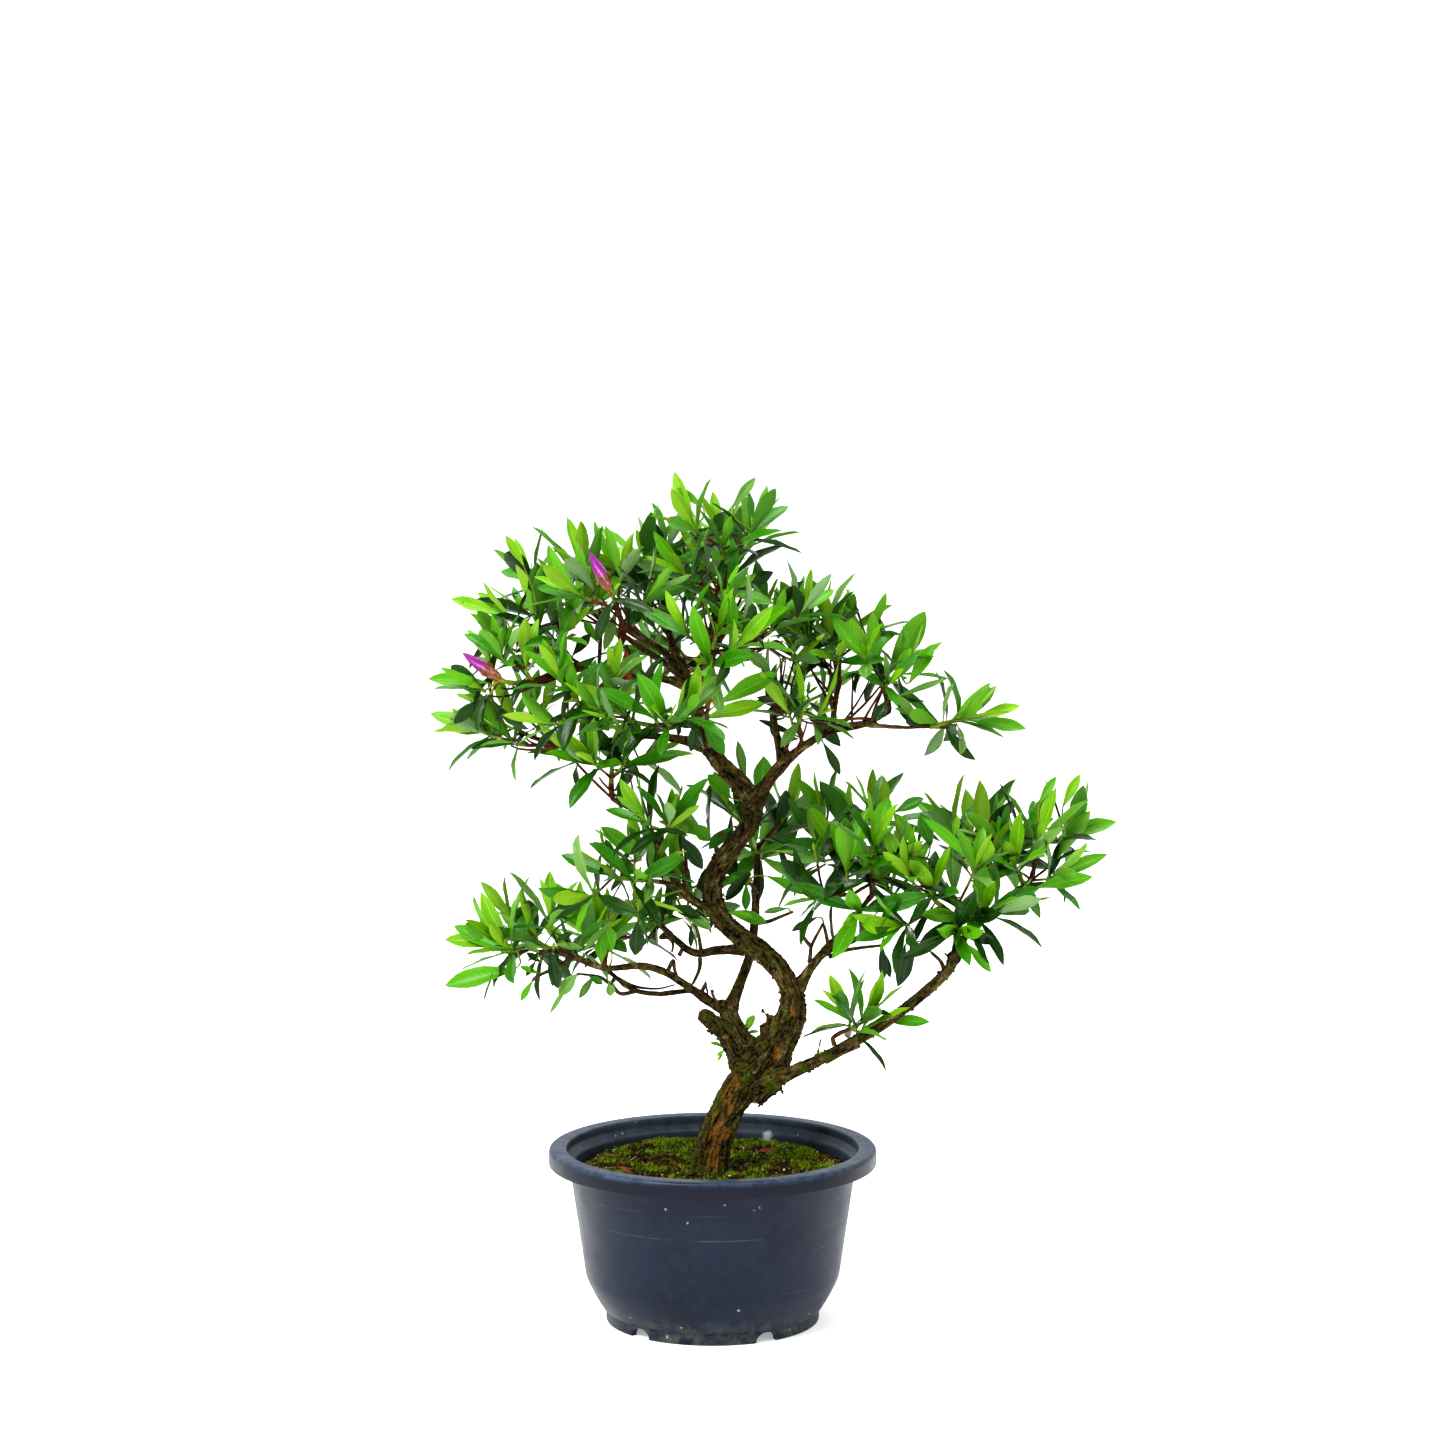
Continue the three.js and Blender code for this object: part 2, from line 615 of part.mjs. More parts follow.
// Round segments between the rings of a limb or stem
function segments(rings) {
  return rings.slice(1).map((end, k) => ({ start: rings[k], end }));
}

// The distance from a place to the nearest round segment's surface
function gapTo(point, pieces) {
  let nearest = Infinity;
  const along = new THREE.Vector3();
  const off = new THREE.Vector3();
  for (const { start, end } of pieces) {
    along.subVectors(end.point, start.point);
    off.subVectors(point, start.point);
    const t = THREE.MathUtils.clamp(off.dot(along) / along.lengthSq(), 0, 1);
    const radius = start.radius + (end.radius - start.radius) * t;
    nearest = Math.min(nearest, off.addScaledVector(along, -t).length() - radius);
  }
  return nearest;
}

// How far out a place is in a mass's own space: 1 is its edge
function shareOf(mass, point, extra = LEAF_REACH) {
  const [x, y, z] = mass.spread;
  const from = point.clone().sub(mass.middle);
  return (from.x / (x + extra)) ** 2 + (from.y / (y + extra)) ** 2 + (from.z / (z + extra)) ** 2;
}

// Whether a place is inside a mass's space and, by a margin, nearer to it than to any other
function owns(masses, mass, point, margin) {
  const mine = shareOf(mass, point);
  return mine < 1 && masses.every((other) => other === mass || shareOf(other, point) > mine * margin);
}

// Where a mass's stem leaves its limb: off the tip, or off the side towards the mass
function footOf(lines, mass) {
  const line = lines[mass.limb];
  const at = (mass.at ?? 1) * (line.length - 1);
  const k = Math.min(Math.floor(at), line.length - 2);
  const heading = towards(line[k].point, line[k + 1].point);
  const point = line[k].point.clone().lerp(line[k + 1].point, at - k);
  if ((mass.at ?? 1) >= 1) return { foot: point.addScaledVector(heading, TIP_GAP), heading };
  const out = mass.middle.clone().sub(point).projectOnPlane(heading).normalize();
  const radius = line[k].radius + (line[k + 1].radius - line[k].radius) * (at - k);
  return {
    foot: point.addScaledVector(out, radius + SIDE_GAP),
    heading: out.clone().addScaledVector(heading, 0.4).normalize(),
  };
}

// The stem runs from its foot, up a short collar, to the leading shoot in the mass's middle
function addStem(lines, mass) {
  const { foot, heading } = footOf(lines, mass);
  const collar = foot.clone().addScaledVector(heading, COLLAR);
  const way = towards(collar, mass.middle);
  const lean = shake(stream(mass.seed * 131 + 5));
  lean.z += mass.lift;
  const axis = mass.aim ? mass.aim.clone() : lean.addScaledVector(way, 0.9);
  const start = heading.clone().multiplyScalar(0.5).add(way).normalize();
  const count = THREE.MathUtils.clamp(Math.ceil(collar.distanceTo(mass.middle) / TWIG_PIECE), 1, 4);
  mass.axis = axis.normalize();
  mass.stem = [foot, collar, ...path(collar, start, mass.middle, mass.axis, shares(count))];
  mass.stemPieces = segments(mass.stem.map((point) => ({ point, radius: STEM_RADIUS })));
}

// Limbs and other masses' stems that a mass's twigs and leaves could touch
function obstacles(limbPieces, masses, mass) {
  const others = masses.filter((other) => other !== mass).flatMap((other) => other.stemPieces);
  return [...limbPieces, ...others].filter(({ start, end }) => {
    const middle = start.point.clone().add(end.point).multiplyScalar(0.5);
    return shareOf(mass, middle, LEAF_REACH + 8) < 1 || middle.distanceTo(mass.stem[0]) < 30;
  });
}

// Places for the shoots: each is the one of ten tries that stands furthest from the rest
function shootTips(mass, next) {
  const tips = [mass.middle.clone()];
  while (tips.length < mass.shoots) {
    let best = null;
    let widest = -1;
    for (let tries = 0; tries < 10; tries++) {
      const z = 2 * next() - 1;
      const angle = 2 * Math.PI * next();
      const flat = Math.sqrt(Math.max(0, 1 - z * z));
      const out = 0.55 + 0.45 * next();
      const offset = new THREE.Vector3(flat * Math.cos(angle), flat * Math.sin(angle), z);
      const tip = offset.multiplyScalar(out).multiply(mass.size).add(mass.middle);
      const nearest = Math.min(...tips.map((other) => tip.distanceTo(other)));
      if (nearest > widest) [best, widest] = [tip, nearest];
    }
    tips.push(best);
  }
  return tips;
}

// The twigs of a mass: nodes that each know the one below, and the shoots at their ends
function growTwigs(masses, mass, near) {
  const tips = shootTips(mass, stream(mass.seed));
  const nodes = [];
  const addNode = (point, up, heading) => {
    const step = up >= 0 ? point.distanceTo(nodes[up].point) : 0;
    const way = heading ?? towards(nodes[up].point, point);
    nodes.push({ point, up, heading: way, far: (nodes[up]?.far ?? 0) + step, load: 0 });
    return nodes.length - 1;
  };
  const carry = (from) => {
    for (let n = from; n >= 0; n = nodes[n].up) nodes[n].load += 1;
  };
  const first = towards(mass.stem[0], mass.stem[1]);
  const stem = mass.stem.map((point, k) => addNode(point, k - 1, k < 2 ? first : undefined));
  carry(stem.length - 1);
  const shoots = [{ chain: stem, tip: tips[0], axis: mass.axis, seed: mass.seed * 977 + 7 }];
  const order = tips.map((_, k) => k).slice(1);
  order.sort((a, b) => tips[a].distanceTo(mass.stem[0]) - tips[b].distanceTo(mass.stem[0]));
  for (const k of order) {
    const shoot = joinShoot(masses, mass, near, nodes, addNode, tips[k], k);
    if (!shoot) continue;
    carry(shoot.chain[shoot.chain.length - 1]);
    shoots.push(shoot);
  }
  return { nodes, shoots };
}

// A shoot joins the twig that it reaches by the shortest and straightest way, if that is clear
function joinShoot(masses, mass, near, nodes, addNode, tip, k) {
  const jitter = shake(stream(mass.seed * 131 + k * 17 + 5));
  const out = tip.clone().sub(mass.middle).divide(mass.size);
  const ways = nodes.map(({ point, heading, far }, n) => {
    const length = tip.distanceTo(point);
    const turn = 1 - tip.clone().sub(point).dot(heading) / length;
    return { n, length, cost: length * (1 + 0.7 * turn) + 0.3 * far };
  }).filter(({ n, length }) => n > 0 && length >= 4);
  ways.sort((a, b) => a.cost - b.cost);
  for (const { n, length } of ways.slice(0, 5)) {
    const from = nodes[n].point;
    const way = towards(from, tip);
    const axis = out.clone().multiplyScalar(0.55).addScaledVector(way, 0.5).add(jitter);
    axis.z += mass.lift;
    axis.normalize();
    const start = nodes[n].heading.clone().multiplyScalar(0.5).add(way).normalize();
    const pieces = THREE.MathUtils.clamp(Math.ceil(length / TWIG_PIECE), 1, 3);
    const corners = path(from, start, tip, axis, shares(pieces));
    const chords = [from, ...corners].slice(0, -1).flatMap((end, j) => (
      [0.25, 0.5, 0.75].map((share) => end.clone().lerp(corners[j], share))
    ));
    const probes = [...path(from, start, tip, axis, shares(8)).slice(1), ...chords.slice(n > 1 ? 1 : 2)];
    const free = probes.every((point) => gapTo(point, near) > TWIG_CLEARANCE);
    const held = probes.slice(n > 1 ? 0 : 2).every((point) => owns(masses, mass, point, TWIG_MARGIN));
    if (!free || !held) continue;
    const chain = [n];
    for (const point of corners) chain.push(addNode(point, chain[chain.length - 1]));
    return { chain, tip, axis, seed: mass.seed * 977 + k * 31 + 7 };
  }
  return null;
}

const twigRadius = (load) => TWIG_RADIUS * load ** TWIG_GROWTH;

// A shoot's twig, from inside the one that carries it to the end bud past its tip
function twigTube(nodes, { chain, tip, axis }, attempt = 0) {
  const rings = chain.map((n, k) => ({
    point: nodes[n].point,
    radius: twigRadius(nodes[k === 0 ? chain[1] : n].load),
  }));
  rings[rings.length - 1].point = tip.clone().addScaledVector(axis, -LEAFY_STRETCH);
  rings.push({ point: tip.clone().addScaledVector(axis, BUD_TIP), radius: BUD_TIP_RADIUS });
  return bentTube(rings, TWIG_SIDES, { turn: chain[0] + 0.2 * attempt });
}

// The leaves of a shoot, in a whorl round its tip: young and upright first, old and spreading last
function leafSpots(mass, { seed, axis, tip }) {
  const next = stream(seed);
  const side = axis.clone().cross(new THREE.Vector3(0.31, 0.95, 0.12)).normalize();
  const back = axis.clone().cross(side);
  const count = 8 + Math.floor(4 * next()) + (mass.more ?? 0);
  const phase = 2 * Math.PI * next();
  const size = 0.9 + 0.2 * next();
  return Array.from({ length: count }, (_, j) => {
    const r = Array.from({ length: 6 }, next);
    const t = j / (count - 1);
    const turn = phase + j * GOLDEN_ANGLE;
    const opening = THREE.MathUtils.degToRad(16 + 82 * t ** 0.85 + 22 * (r[0] - 0.5));
    const ring = side.clone().multiplyScalar(Math.cos(turn)).addScaledVector(back, Math.sin(turn));
    const along = axis.clone().multiplyScalar(Math.cos(opening)).addScaledVector(ring, Math.sin(opening));
    const tilt = new THREE.Vector3(r[1] - 0.5, r[2] - 0.5, r[1] - r[2]).multiplyScalar(0.35);
    const face = opening > 0.15 ? axis.clone().projectOnPlane(along).normalize() : ring.negate();
    face.add(tilt).projectOnPlane(along).normalize();
    const length = LEAF_LENGTH * size * (0.62 + 0.5 * Math.sin(Math.PI * (0.2 + 0.6 * t))) * (0.82 + 0.36 * r[3]);
    return {
      root: tip.clone().addScaledVector(axis, 1.2 - (LEAFY_STRETCH + 0.7) * t),
      along,
      face,
      length: length * SOLID_LENGTH_SHARE,
      width: length * (0.25 + 0.09 * r[4]) * SOLID_WIDTH_SHARE,
      bend: THREE.MathUtils.degToRad(4 + 44 * t) * (0.5 + r[5]),
    };
  });
}

// A place on a leaf that bends down along its length and lifts towards its edges
function onLeaf({ root, along, face, length, width, bend }, share, across = 0, lift = 0) {
  const angle = bend * share;
  const half = (width / 2) * Math.max(0, Math.sin(Math.PI * share ** 1.2)) ** 1.05;
  const normal = face.clone().multiplyScalar(Math.cos(angle)).addScaledVector(along, Math.sin(angle));
  return root.clone()
    .addScaledVector(along, (length * Math.sin(angle)) / bend)
    .addScaledVector(face, (-length * (1 - Math.cos(angle))) / bend)
    .addScaledVector(along.clone().cross(face), half * across)
    .addScaledVector(normal, lift + Math.abs(across) * half * 0.25);
}

// Shares of length and width at which a leaf is tested before it is kept
const PROBE_SHARES = [0.12, 0.24, 0.36, 0.48, 0.6, 0.72, 0.84, 0.93, 1];
const PROBES = PROBE_SHARES.flatMap((share) => [-1, -0.5, 0, 0.5, 1].map((across) => [share, across]));

function leafFits(masses, mass, near, leaf) {
  return PROBES.every(([share, across]) => {
    const point = onLeaf(leaf, share, across);
    return owns(masses, mass, point, LEAF_MARGIN) && gapTo(point, near) > LEAF_CLEARANCE;
  });
}

// A solid leaf has six faces between its two edges, its tip, its root and the keel under its middle
const LEAF_CORNERS = [1, 0, 0, -1, 0, 0, 0, 1, 0, 0, -1, 0, 0, 0, -1];
const LEAF_FACES = [0, 2, 1, 0, 1, 3, 0, 4, 2, 1, 2, 4, 0, 3, 4, 1, 4, 3];

function leafSolid(leaf, attempt) {
  const blade = closedSurface(new THREE.PolyhedronGeometry(LEAF_CORNERS, LEAF_FACES));
  const place = blade.attributes.position;
  for (let k = 0; k < place.count; k++) {
    const [across, up, lift] = [place.getX(k), place.getY(k), place.getZ(k)].map(Math.round);
    const spot = up === 0
      ? onLeaf(leaf, 0.5, across, lift * SOLID_KEEL)
      : onLeaf(leaf, up > 0 ? 1 : 0);
    if (up < 0) spot.addScaledVector(leaf.along, -LEAF_SINK - 0.1 * attempt);
    place.setXYZ(k, spot.x, spot.y, spot.z);
  }
  return solidOf(blade);
}

// A closed flower bud: a spindle along its shoot's axis
function flowerBud({ tip, axis }) {
  const spindle = [-0.1, 0.06, 0.2, 0.42, 0.66, 0.86, 1].map((share) => ({
    point: tip.clone().addScaledVector(axis, share * FLOWER_LENGTH),
    radius: FLOWER_RADIUS * Math.sin(Math.PI * ((share + 0.14) / 1.2)) ** 0.8,
  }));
  return solidOf(bentTube(spindle, FLOWER_SIDES));
}

function massSolid(masses, mass, limbPieces) {
  const near = obstacles(limbPieces, masses, mass);
  const { nodes, shoots } = growTwigs(masses, mass, near);
  let solid = solidOf(twigTube(nodes, shoots[0]));
  for (const shoot of shoots.slice(1)) {
    solid = fuse(solid, (attempt) => solidOf(twigTube(nodes, shoot, attempt)));
  }
  for (const shoot of shoots) {
    const leaves = leafSpots(mass, shoot);
    const picked = LEAF_ORDER.filter((j) => j < leaves.length).map((j) => leaves[j]);
    const kept = picked.filter((leaf) => leafFits(masses, mass, near, leaf)).slice(0, LEAVES_A_SHOOT);
    for (const leaf of kept) solid = fuse(solid, (attempt) => leafSolid(leaf, attempt));
  }
  return mass.bud ? solid.add(flowerBud(shoots[0])) : solid;
}

function makeFoliage(lines) {
  const masses = MASSES.map((mass) => ({
    lift: 0.8,
    ...mass,
    middle: new THREE.Vector3(...mass.centre),
    size: new THREE.Vector3(...mass.spread),
    aim: mass.aim && new THREE.Vector3(...mass.aim).normalize(),
  }));
  const limbPieces = Object.values(lines).flatMap(segments);
  for (const mass of masses) addStem(lines, mass);
  for (const mass of masses) addPart(mass.name, outerSkin(massSolid(masses, mass, limbPieces)), foliage);
}

const lines = Object.fromEntries(Object.entries(LIMBS).map(([name, rows]) => [name, centreLine(rows)]));
makePot();
makeSoil();
makeLimbs(lines);
makeFoliage(lines);

export default plant;
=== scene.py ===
"""A dwarf azalea trained as a small bonsai, in its round training pot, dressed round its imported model."""

import math
from functools import lru_cache

import bpy
import numpy as np
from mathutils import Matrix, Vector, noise


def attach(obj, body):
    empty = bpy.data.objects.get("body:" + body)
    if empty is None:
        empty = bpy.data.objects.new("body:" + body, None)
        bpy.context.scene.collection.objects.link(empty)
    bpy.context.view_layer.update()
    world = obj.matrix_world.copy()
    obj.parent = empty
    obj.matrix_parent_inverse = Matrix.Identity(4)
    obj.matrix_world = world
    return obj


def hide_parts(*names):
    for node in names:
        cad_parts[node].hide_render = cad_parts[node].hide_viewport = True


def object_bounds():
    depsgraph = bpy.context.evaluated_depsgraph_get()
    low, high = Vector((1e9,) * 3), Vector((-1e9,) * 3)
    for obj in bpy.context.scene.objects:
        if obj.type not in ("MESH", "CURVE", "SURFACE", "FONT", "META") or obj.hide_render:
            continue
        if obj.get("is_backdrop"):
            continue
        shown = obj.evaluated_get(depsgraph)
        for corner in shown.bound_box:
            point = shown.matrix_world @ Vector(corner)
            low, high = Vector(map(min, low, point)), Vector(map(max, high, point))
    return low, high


bl_info = {
    "name": "Potted azalea bonsai",
    "version": (1, 0, 0),
    "blender": (4, 5, 0),
    "location": "View3D > Sidebar > Azalea",
    "description": "Dresses the packed azalea bonsai with bark, leaves, flower buds, moss and a plastic pot",
    "category": "Add Mesh",
}

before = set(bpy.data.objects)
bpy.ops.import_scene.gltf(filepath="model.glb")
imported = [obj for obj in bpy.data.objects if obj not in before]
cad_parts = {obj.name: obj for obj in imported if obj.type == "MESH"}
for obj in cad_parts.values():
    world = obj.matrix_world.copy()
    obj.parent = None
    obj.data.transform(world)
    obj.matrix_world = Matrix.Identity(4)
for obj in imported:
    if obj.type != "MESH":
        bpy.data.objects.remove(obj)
CAD_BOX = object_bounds()

# Metres in a millimetre: places and sizes below are in millimetres until a mesh is made
MM = 0.001

# Growth, with the same sizes as in the part's source
GOLDEN_ANGLE = 2.399963
TWIG_RADIUS = 0.72
TWIG_GROWTH = 0.42
STEM_RADIUS = 1.6
TWIG_PIECE = 20
COLLAR = 4
TIP_GAP = 0.35
SIDE_GAP = 0.7
TWIG_CLEARANCE = 1.6
TWIG_MARGIN = 1.12
FINER_SHOOTS = 0.4
LEAF_LENGTH = 30.5
LARGE_LEAVED = ("right_low", "back_stem", "low_shoot", "right_tip")
LARGE_LEAF_SHARE = 1.16
LEAF_REACH = 27
LEAF_CLEARANCE = 0.8
LEAF_STALK = 0.45
FLOWER_LENGTH = 25
SOIL_TOP = 85.3

# Centre lines of the limbs, foot to tip: x, y, z and radius
LIMBS = {
    "trunk": [
        [-2.5, -14, 81.2, 9.6], [-0.9, -14, 92.3, 9.3], [2.9, -12, 105.7, 8.8], [8.4, -10, 119.2, 8.5],
        [16.6, -6, 132.8, 9], [27.5, -4, 143.4, 9.8], [36.8, -6, 156, 9.3], [42.2, -8, 168.6, 8],
        [43.8, -8, 177.9, 6.5], [41.1, -6, 187.5, 5.7], [30.8, 0, 200.3, 5.5], [15.5, 5, 211.6, 5.3],
        [4, 6, 222.6, 5.4], [-0.3, 4, 235.6, 5.4], [3.5, 0, 250.5, 5.2], [13.3, -5, 264.3, 5.1],
        [21.4, -8, 277.3, 5.2], [21.4, -7, 288.1, 5.2], [14.3, -5, 297.6, 4.8], [4.6, -2, 307.1, 4.6],
        [-3.6, 2, 318.7, 4.4], [-7.9, 5, 332.1, 3.8], [-11.2, 7, 345.6, 3.5], [-17.2, 8, 358.6, 3],
    ],
    "left_trunk": [
        [23.2, -3, 141, 8.4], [15.5, 3, 151, 7.8], [10.6, 8, 160.6, 6.2], [8.4, 12, 170.4, 4.6],
    ],
    "cut_stub": [
        [13.9, 4, 151.9, 5.4], [4.6, -1, 161.2, 4.8], [-5.8, -7, 170.6, 3.8],
    ],
    "back_stem": [
        [9.5, 12, 170.4, 3], [16.2, 22, 185.4, 2.8], [21.2, 30, 199.8, 2.6], [23.5, 36, 218.5, 2.4],
        [24.6, 42, 237.3, 2.1], [24.7, 46, 249.1, 1.9],
    ],
    "low_left_bough": [
        [8.4, 12, 169.3, 2.6], [0.7, 10, 173, 2.4], [-12.4, 4, 183, 2.2], [-26, -4, 193.2, 2.1],
        [-39.5, -9, 197.4, 2], [-58.3, -14, 197.1, 1.8], [-76.1, -16, 203.5, 1.5],
    ],
    "low_left_under": [
        [-5.3, 9, 177.1, 1.6], [-12.5, 16, 179.2, 1.5], [-31.5, 26, 175.8, 1.5], [-46.1, 32, 178.1, 1.4],
        [-56.7, 34, 186.2, 1.3],
    ],
    "side_left_bough": [
        [17.2, 4, 204.6, 2.6], [4, 9, 203.2, 2.5], [-9.7, 15, 200.6, 2.3], [-20.3, 22, 206.7, 1.9],
        [-27, 27, 212.6, 1.6],
    ],
    "rising_left_bough": [
        [3.5, 6, 223.1, 2.6], [-10.7, -4, 232.9, 2.3], [-18.2, -10, 240.9, 2.3], [-25.7, -16, 256, 2],
        [-32.6, -20, 269.5, 1.8], [-41.2, -20, 282.6, 1.6], [-49.8, -19, 287.9, 1.4],
    ],
    "rising_left_twig": [
        [-17.6, -10, 240.4, 1.6], [-26.2, -18, 244.3, 1.4], [-36.9, -22, 246.5, 1.3],
    ],
    "high_left_bough": [
        [-4.1, 2, 317.1, 3.2], [-19.7, -8, 321.4, 2.4], [-39, -16, 323.8, 1.9], [-60.4, -19, 320.9, 1.6],
        [-78.9, -14, 319.3, 1.4],
    ],
    "right_bough": [
        [21.4, -8, 283.8, 3.8], [28.4, -10, 296, 3.3], [37, -11, 307, 3], [48.8, -14, 317.7, 2.4],
        [63.8, -16, 326.5, 2.1], [80.5, -14, 329.6, 2], [91.5, -10, 334.6, 1.7],
    ],
    "right_bough_up": [
        [38.6, -11, 308.1, 2.4], [34.9, -6, 323.4, 2.2], [33.3, 0, 334.7, 2], [41, 4, 341.5, 1.7],
        [47, 6, 348.9, 1.5],
    ],
    "right_upper_twig": [
        [64.9, -16, 326.5, 1.8], [65.6, -8, 337.1, 1.6], [68.1, 2, 348.2, 1.5],
    ],
    "right_far_twig": [
        [82.7, -14, 330.1, 1.2], [98.4, -12, 328.3, 1.1], [110, -10.6, 328, 1], [117, -9.8, 328.3, 0.95],
    ],
    "low_right_bough": [
        [22.6, -6, 130.5, 7.4], [30.8, -9, 133.9, 5.4], [40.5, -13, 138.6, 3.6], [56.6, -20, 147.2, 3.1],
        [75.8, -28, 159.1, 3], [96.7, -30, 172.6, 2.9], [114.5, -28, 186.4, 2.8], [128.1, -24, 199.4, 2.9],
        [132.1, -20, 211.3, 2.4], [130.9, -20, 221.7, 2],
    ],
    "low_right_far": [
        [131.6, -20, 208, 2], [141.8, -12, 220.4, 1.7], [156.5, -4, 230.1, 1.5], [169.8, 0, 240, 1.3],
    ],
    "mid_right_bough": [
        [43.8, -6, 180.3, 3], [54.2, -3, 196.4, 2.6], [63.6, 2, 204.9, 2.4], [76.8, 4, 209.6, 2],
    ],
    "mid_right_back": [
        [60.8, 0, 203.1, 1.9], [74.4, 14, 216.3, 1.7], [85.9, 26, 228.4, 1.5],
    ],
    "top_left_fork": [
        [-16.1, 8, 356.4, 2.2], [-26.3, -2, 368.1, 2], [-36.2, -14, 375.5, 1.7], [-45, -26, 382.7, 1.5],
    ],
    "top_mid_fork": [
        [-16.6, 8, 358, 2.4], [-21, 10, 368.3, 2.2], [-24.3, 11, 380.2, 1.8], [-26.4, 10, 392.3, 1.5],
    ],
    "top_right_fork": [
        [-9.6, 7, 341.2, 2.6], [-4.7, 5, 354.5, 2.3], [-3, 0, 369, 2.1], [0.3, -6, 384.6, 1.8],
        [2.4, -12, 396.9, 1.5],
    ],
    "top_back_fork": [
        [-11.2, 7, 345.6, 2.4], [-3.6, 20, 357.6, 2.1], [4, 32, 372.1, 1.8], [9.5, 40, 387.1, 1.5],
    ],
    "top_back_left": [
        [-14.5, 8, 353.1, 2.2], [-28.9, 22, 361.9, 1.9], [-45.6, 32, 372.1, 1.7], [-62.3, 38, 383.9, 1.5],
    ],
    "shoulder_fork": [
        [-4.1, 4, 358.9, 1.8], [8.4, -4, 366.6, 1.6], [20.2, -12, 373.7, 1.4],
    ],
    "left_fork": [
        [-12.3, 6, 347.8, 2.2], [-28.4, -4, 354.1, 1.9], [-49.7, -14, 357.1, 1.7], [-71.1, -16, 360.5, 1.5],
        [-84.1, -14, 367.4, 1.4],
    ],
}

# Masses of foliage: the limb that carries each and where along it, the middle of its space, the
# spread of its shoots, how many shoots it has, its seed, and what is its own: how strongly the shoots
# rise, or a flower bud and the way that it points
MASS_ROWS = [
    ("apex_front", "top_right_fork", 1, (6, -24, 424), (26, 20, 22), 5, 686, {}),
    ("apex_back", "top_back_fork", 1, (12, 44, 410), (24, 18, 22), 4, 181, {}),
    ("bud_spray_upper", "top_left_fork", 1, (-53, -46, 402), (20, 16, 14), 4, 192,
     {"bud": True, "aim": [-0.45, -0.15, 0.88]}),
    ("crown_left_mid", "top_mid_fork", 1, (-33, 8, 412), (22, 20, 18), 4, 75, {}),
    ("crown_left_back", "top_back_left", 1, (-81, 40, 396), (28, 20, 18), 4, 156, {}),
    ("left_high", "left_fork", 1, (-94, -8, 381), (24, 22, 18), 5, 845, {}),
    ("bud_spray_left", "left_fork", 0.8, (-112, -38, 356), (18, 14, 14), 4, 440,
     {"bud": True, "aim": [-0.8, -0.15, 0.58]}),
    ("left_low", "high_left_bough", 1, (-106, 0, 327), (24, 20, 13), 4, 597, {}),
    ("left_inner", "left_fork", 0.55, (-71, -48, 345), (22, 16, 16), 4, 211, {}),
    ("front_row", "trunk", 0.9, (-30, -72, 339), (32, 12, 10), 5, 643, {}),
    ("under_left", "rising_left_bough", 1, (-54, -20, 311), (22, 18, 13), 4, 170, {"lift": 0.4}),
    ("crown_core", "trunk", 0.95, (2, -58, 381), (20, 14, 18), 4, 583, {}),
    ("right_shoulder", "shoulder_fork", 1, (32, -22, 382), (20, 20, 20), 4, 315, {}),
    ("right_upper", "right_upper_twig", 1, (65, 6, 371), (22, 22, 20), 5, 242, {}),
    ("right_mid", "right_bough_up", 1, (42, 20, 368), (14, 16, 10), 2, 229, {}),
    ("right_end", "right_bough", 1, (88, -6, 360), (20, 22, 16), 4, 813, {}),
    ("right_tip", "right_far_twig", 1, (129, -8, 331), (8, 8, 5), 2, 763, {"lift": 0.5}),
    ("right_small", "right_bough", 0.42, (48, -30, 337), (10, 8, 6), 2, 870, {}),
    ("left_low_end", "low_left_bough", 1, (-94, -14, 211), (28, 22, 17), 5, 779, {}),
    ("left_low_back", "low_left_under", 1, (-58, 34, 204), (22, 20, 18), 4, 336, {}),
    ("left_rise_front", "rising_left_bough", 0.66, (-23, -46, 280), (12, 12, 10), 2, 804, {}),
    ("left_rise_mid", "rising_left_twig", 1, (-52, -26, 249), (22, 18, 16), 4, 183, {}),
    ("left_inner_low", "side_left_bough", 1, (-22, 36, 230), (20, 18, 20), 4, 600, {}),
    ("back_stem_mass", "back_stem", 1, (20, 54, 264), (30, 22, 20), 5, 443, {}),
    ("right_low_inner", "mid_right_bough", 1, (72, -30, 251), (26, 20, 24), 5, 229, {}),
    ("right_low_back", "mid_right_back", 1, (80, 38, 261), (30, 24, 18), 5, 446, {}),
    ("right_low_front", "low_right_bough", 1, (118, -32, 239), (28, 20, 22), 5, 262, {}),
    ("right_low_upper", "low_right_far", 0.45, (149, 24, 258), (26, 22, 18), 5, 242, {}),
    ("right_low_end", "low_right_far", 1, (177, 0, 261), (20, 18, 18), 4, 833, {}),
    ("right_low_side", "low_right_far", 0.3, (145, -22, 227), (14, 12, 8), 2, 748, {"lift": 0.15}),
    ("low_shoot", "low_right_bough", 0.4, (81, -34, 172), (8, 8, 6), 2, 857, {}),
    ("crown_back", "top_back_fork", 0.45, (-18, 68, 363), (28, 14, 20), 4, 100, {}),
    ("right_back", "right_bough_up", 0.5, (47, 52, 340), (20, 16, 14), 4, 230, {}),
]
MASSES = [
    {**dict(zip(("name", "limb", "at", "centre", "spread", "shoots", "seed"), row)), **own}
    for *row, own in MASS_ROWS
]


def vector(*numbers):
    return np.array(numbers, float)


def unit(v):
    length = math.sqrt(float(v @ v))
    return v / length if length > 1e-9 else vector(0, 0, 1)


def round_axis(axis, *aside):
    """A function that gives the direction across an axis at each turn round it."""
    side = unit(np.cross(axis, vector(*aside)))
    back = np.cross(axis, side)
    return lambda turn: side * math.cos(turn) + back * math.sin(turn)


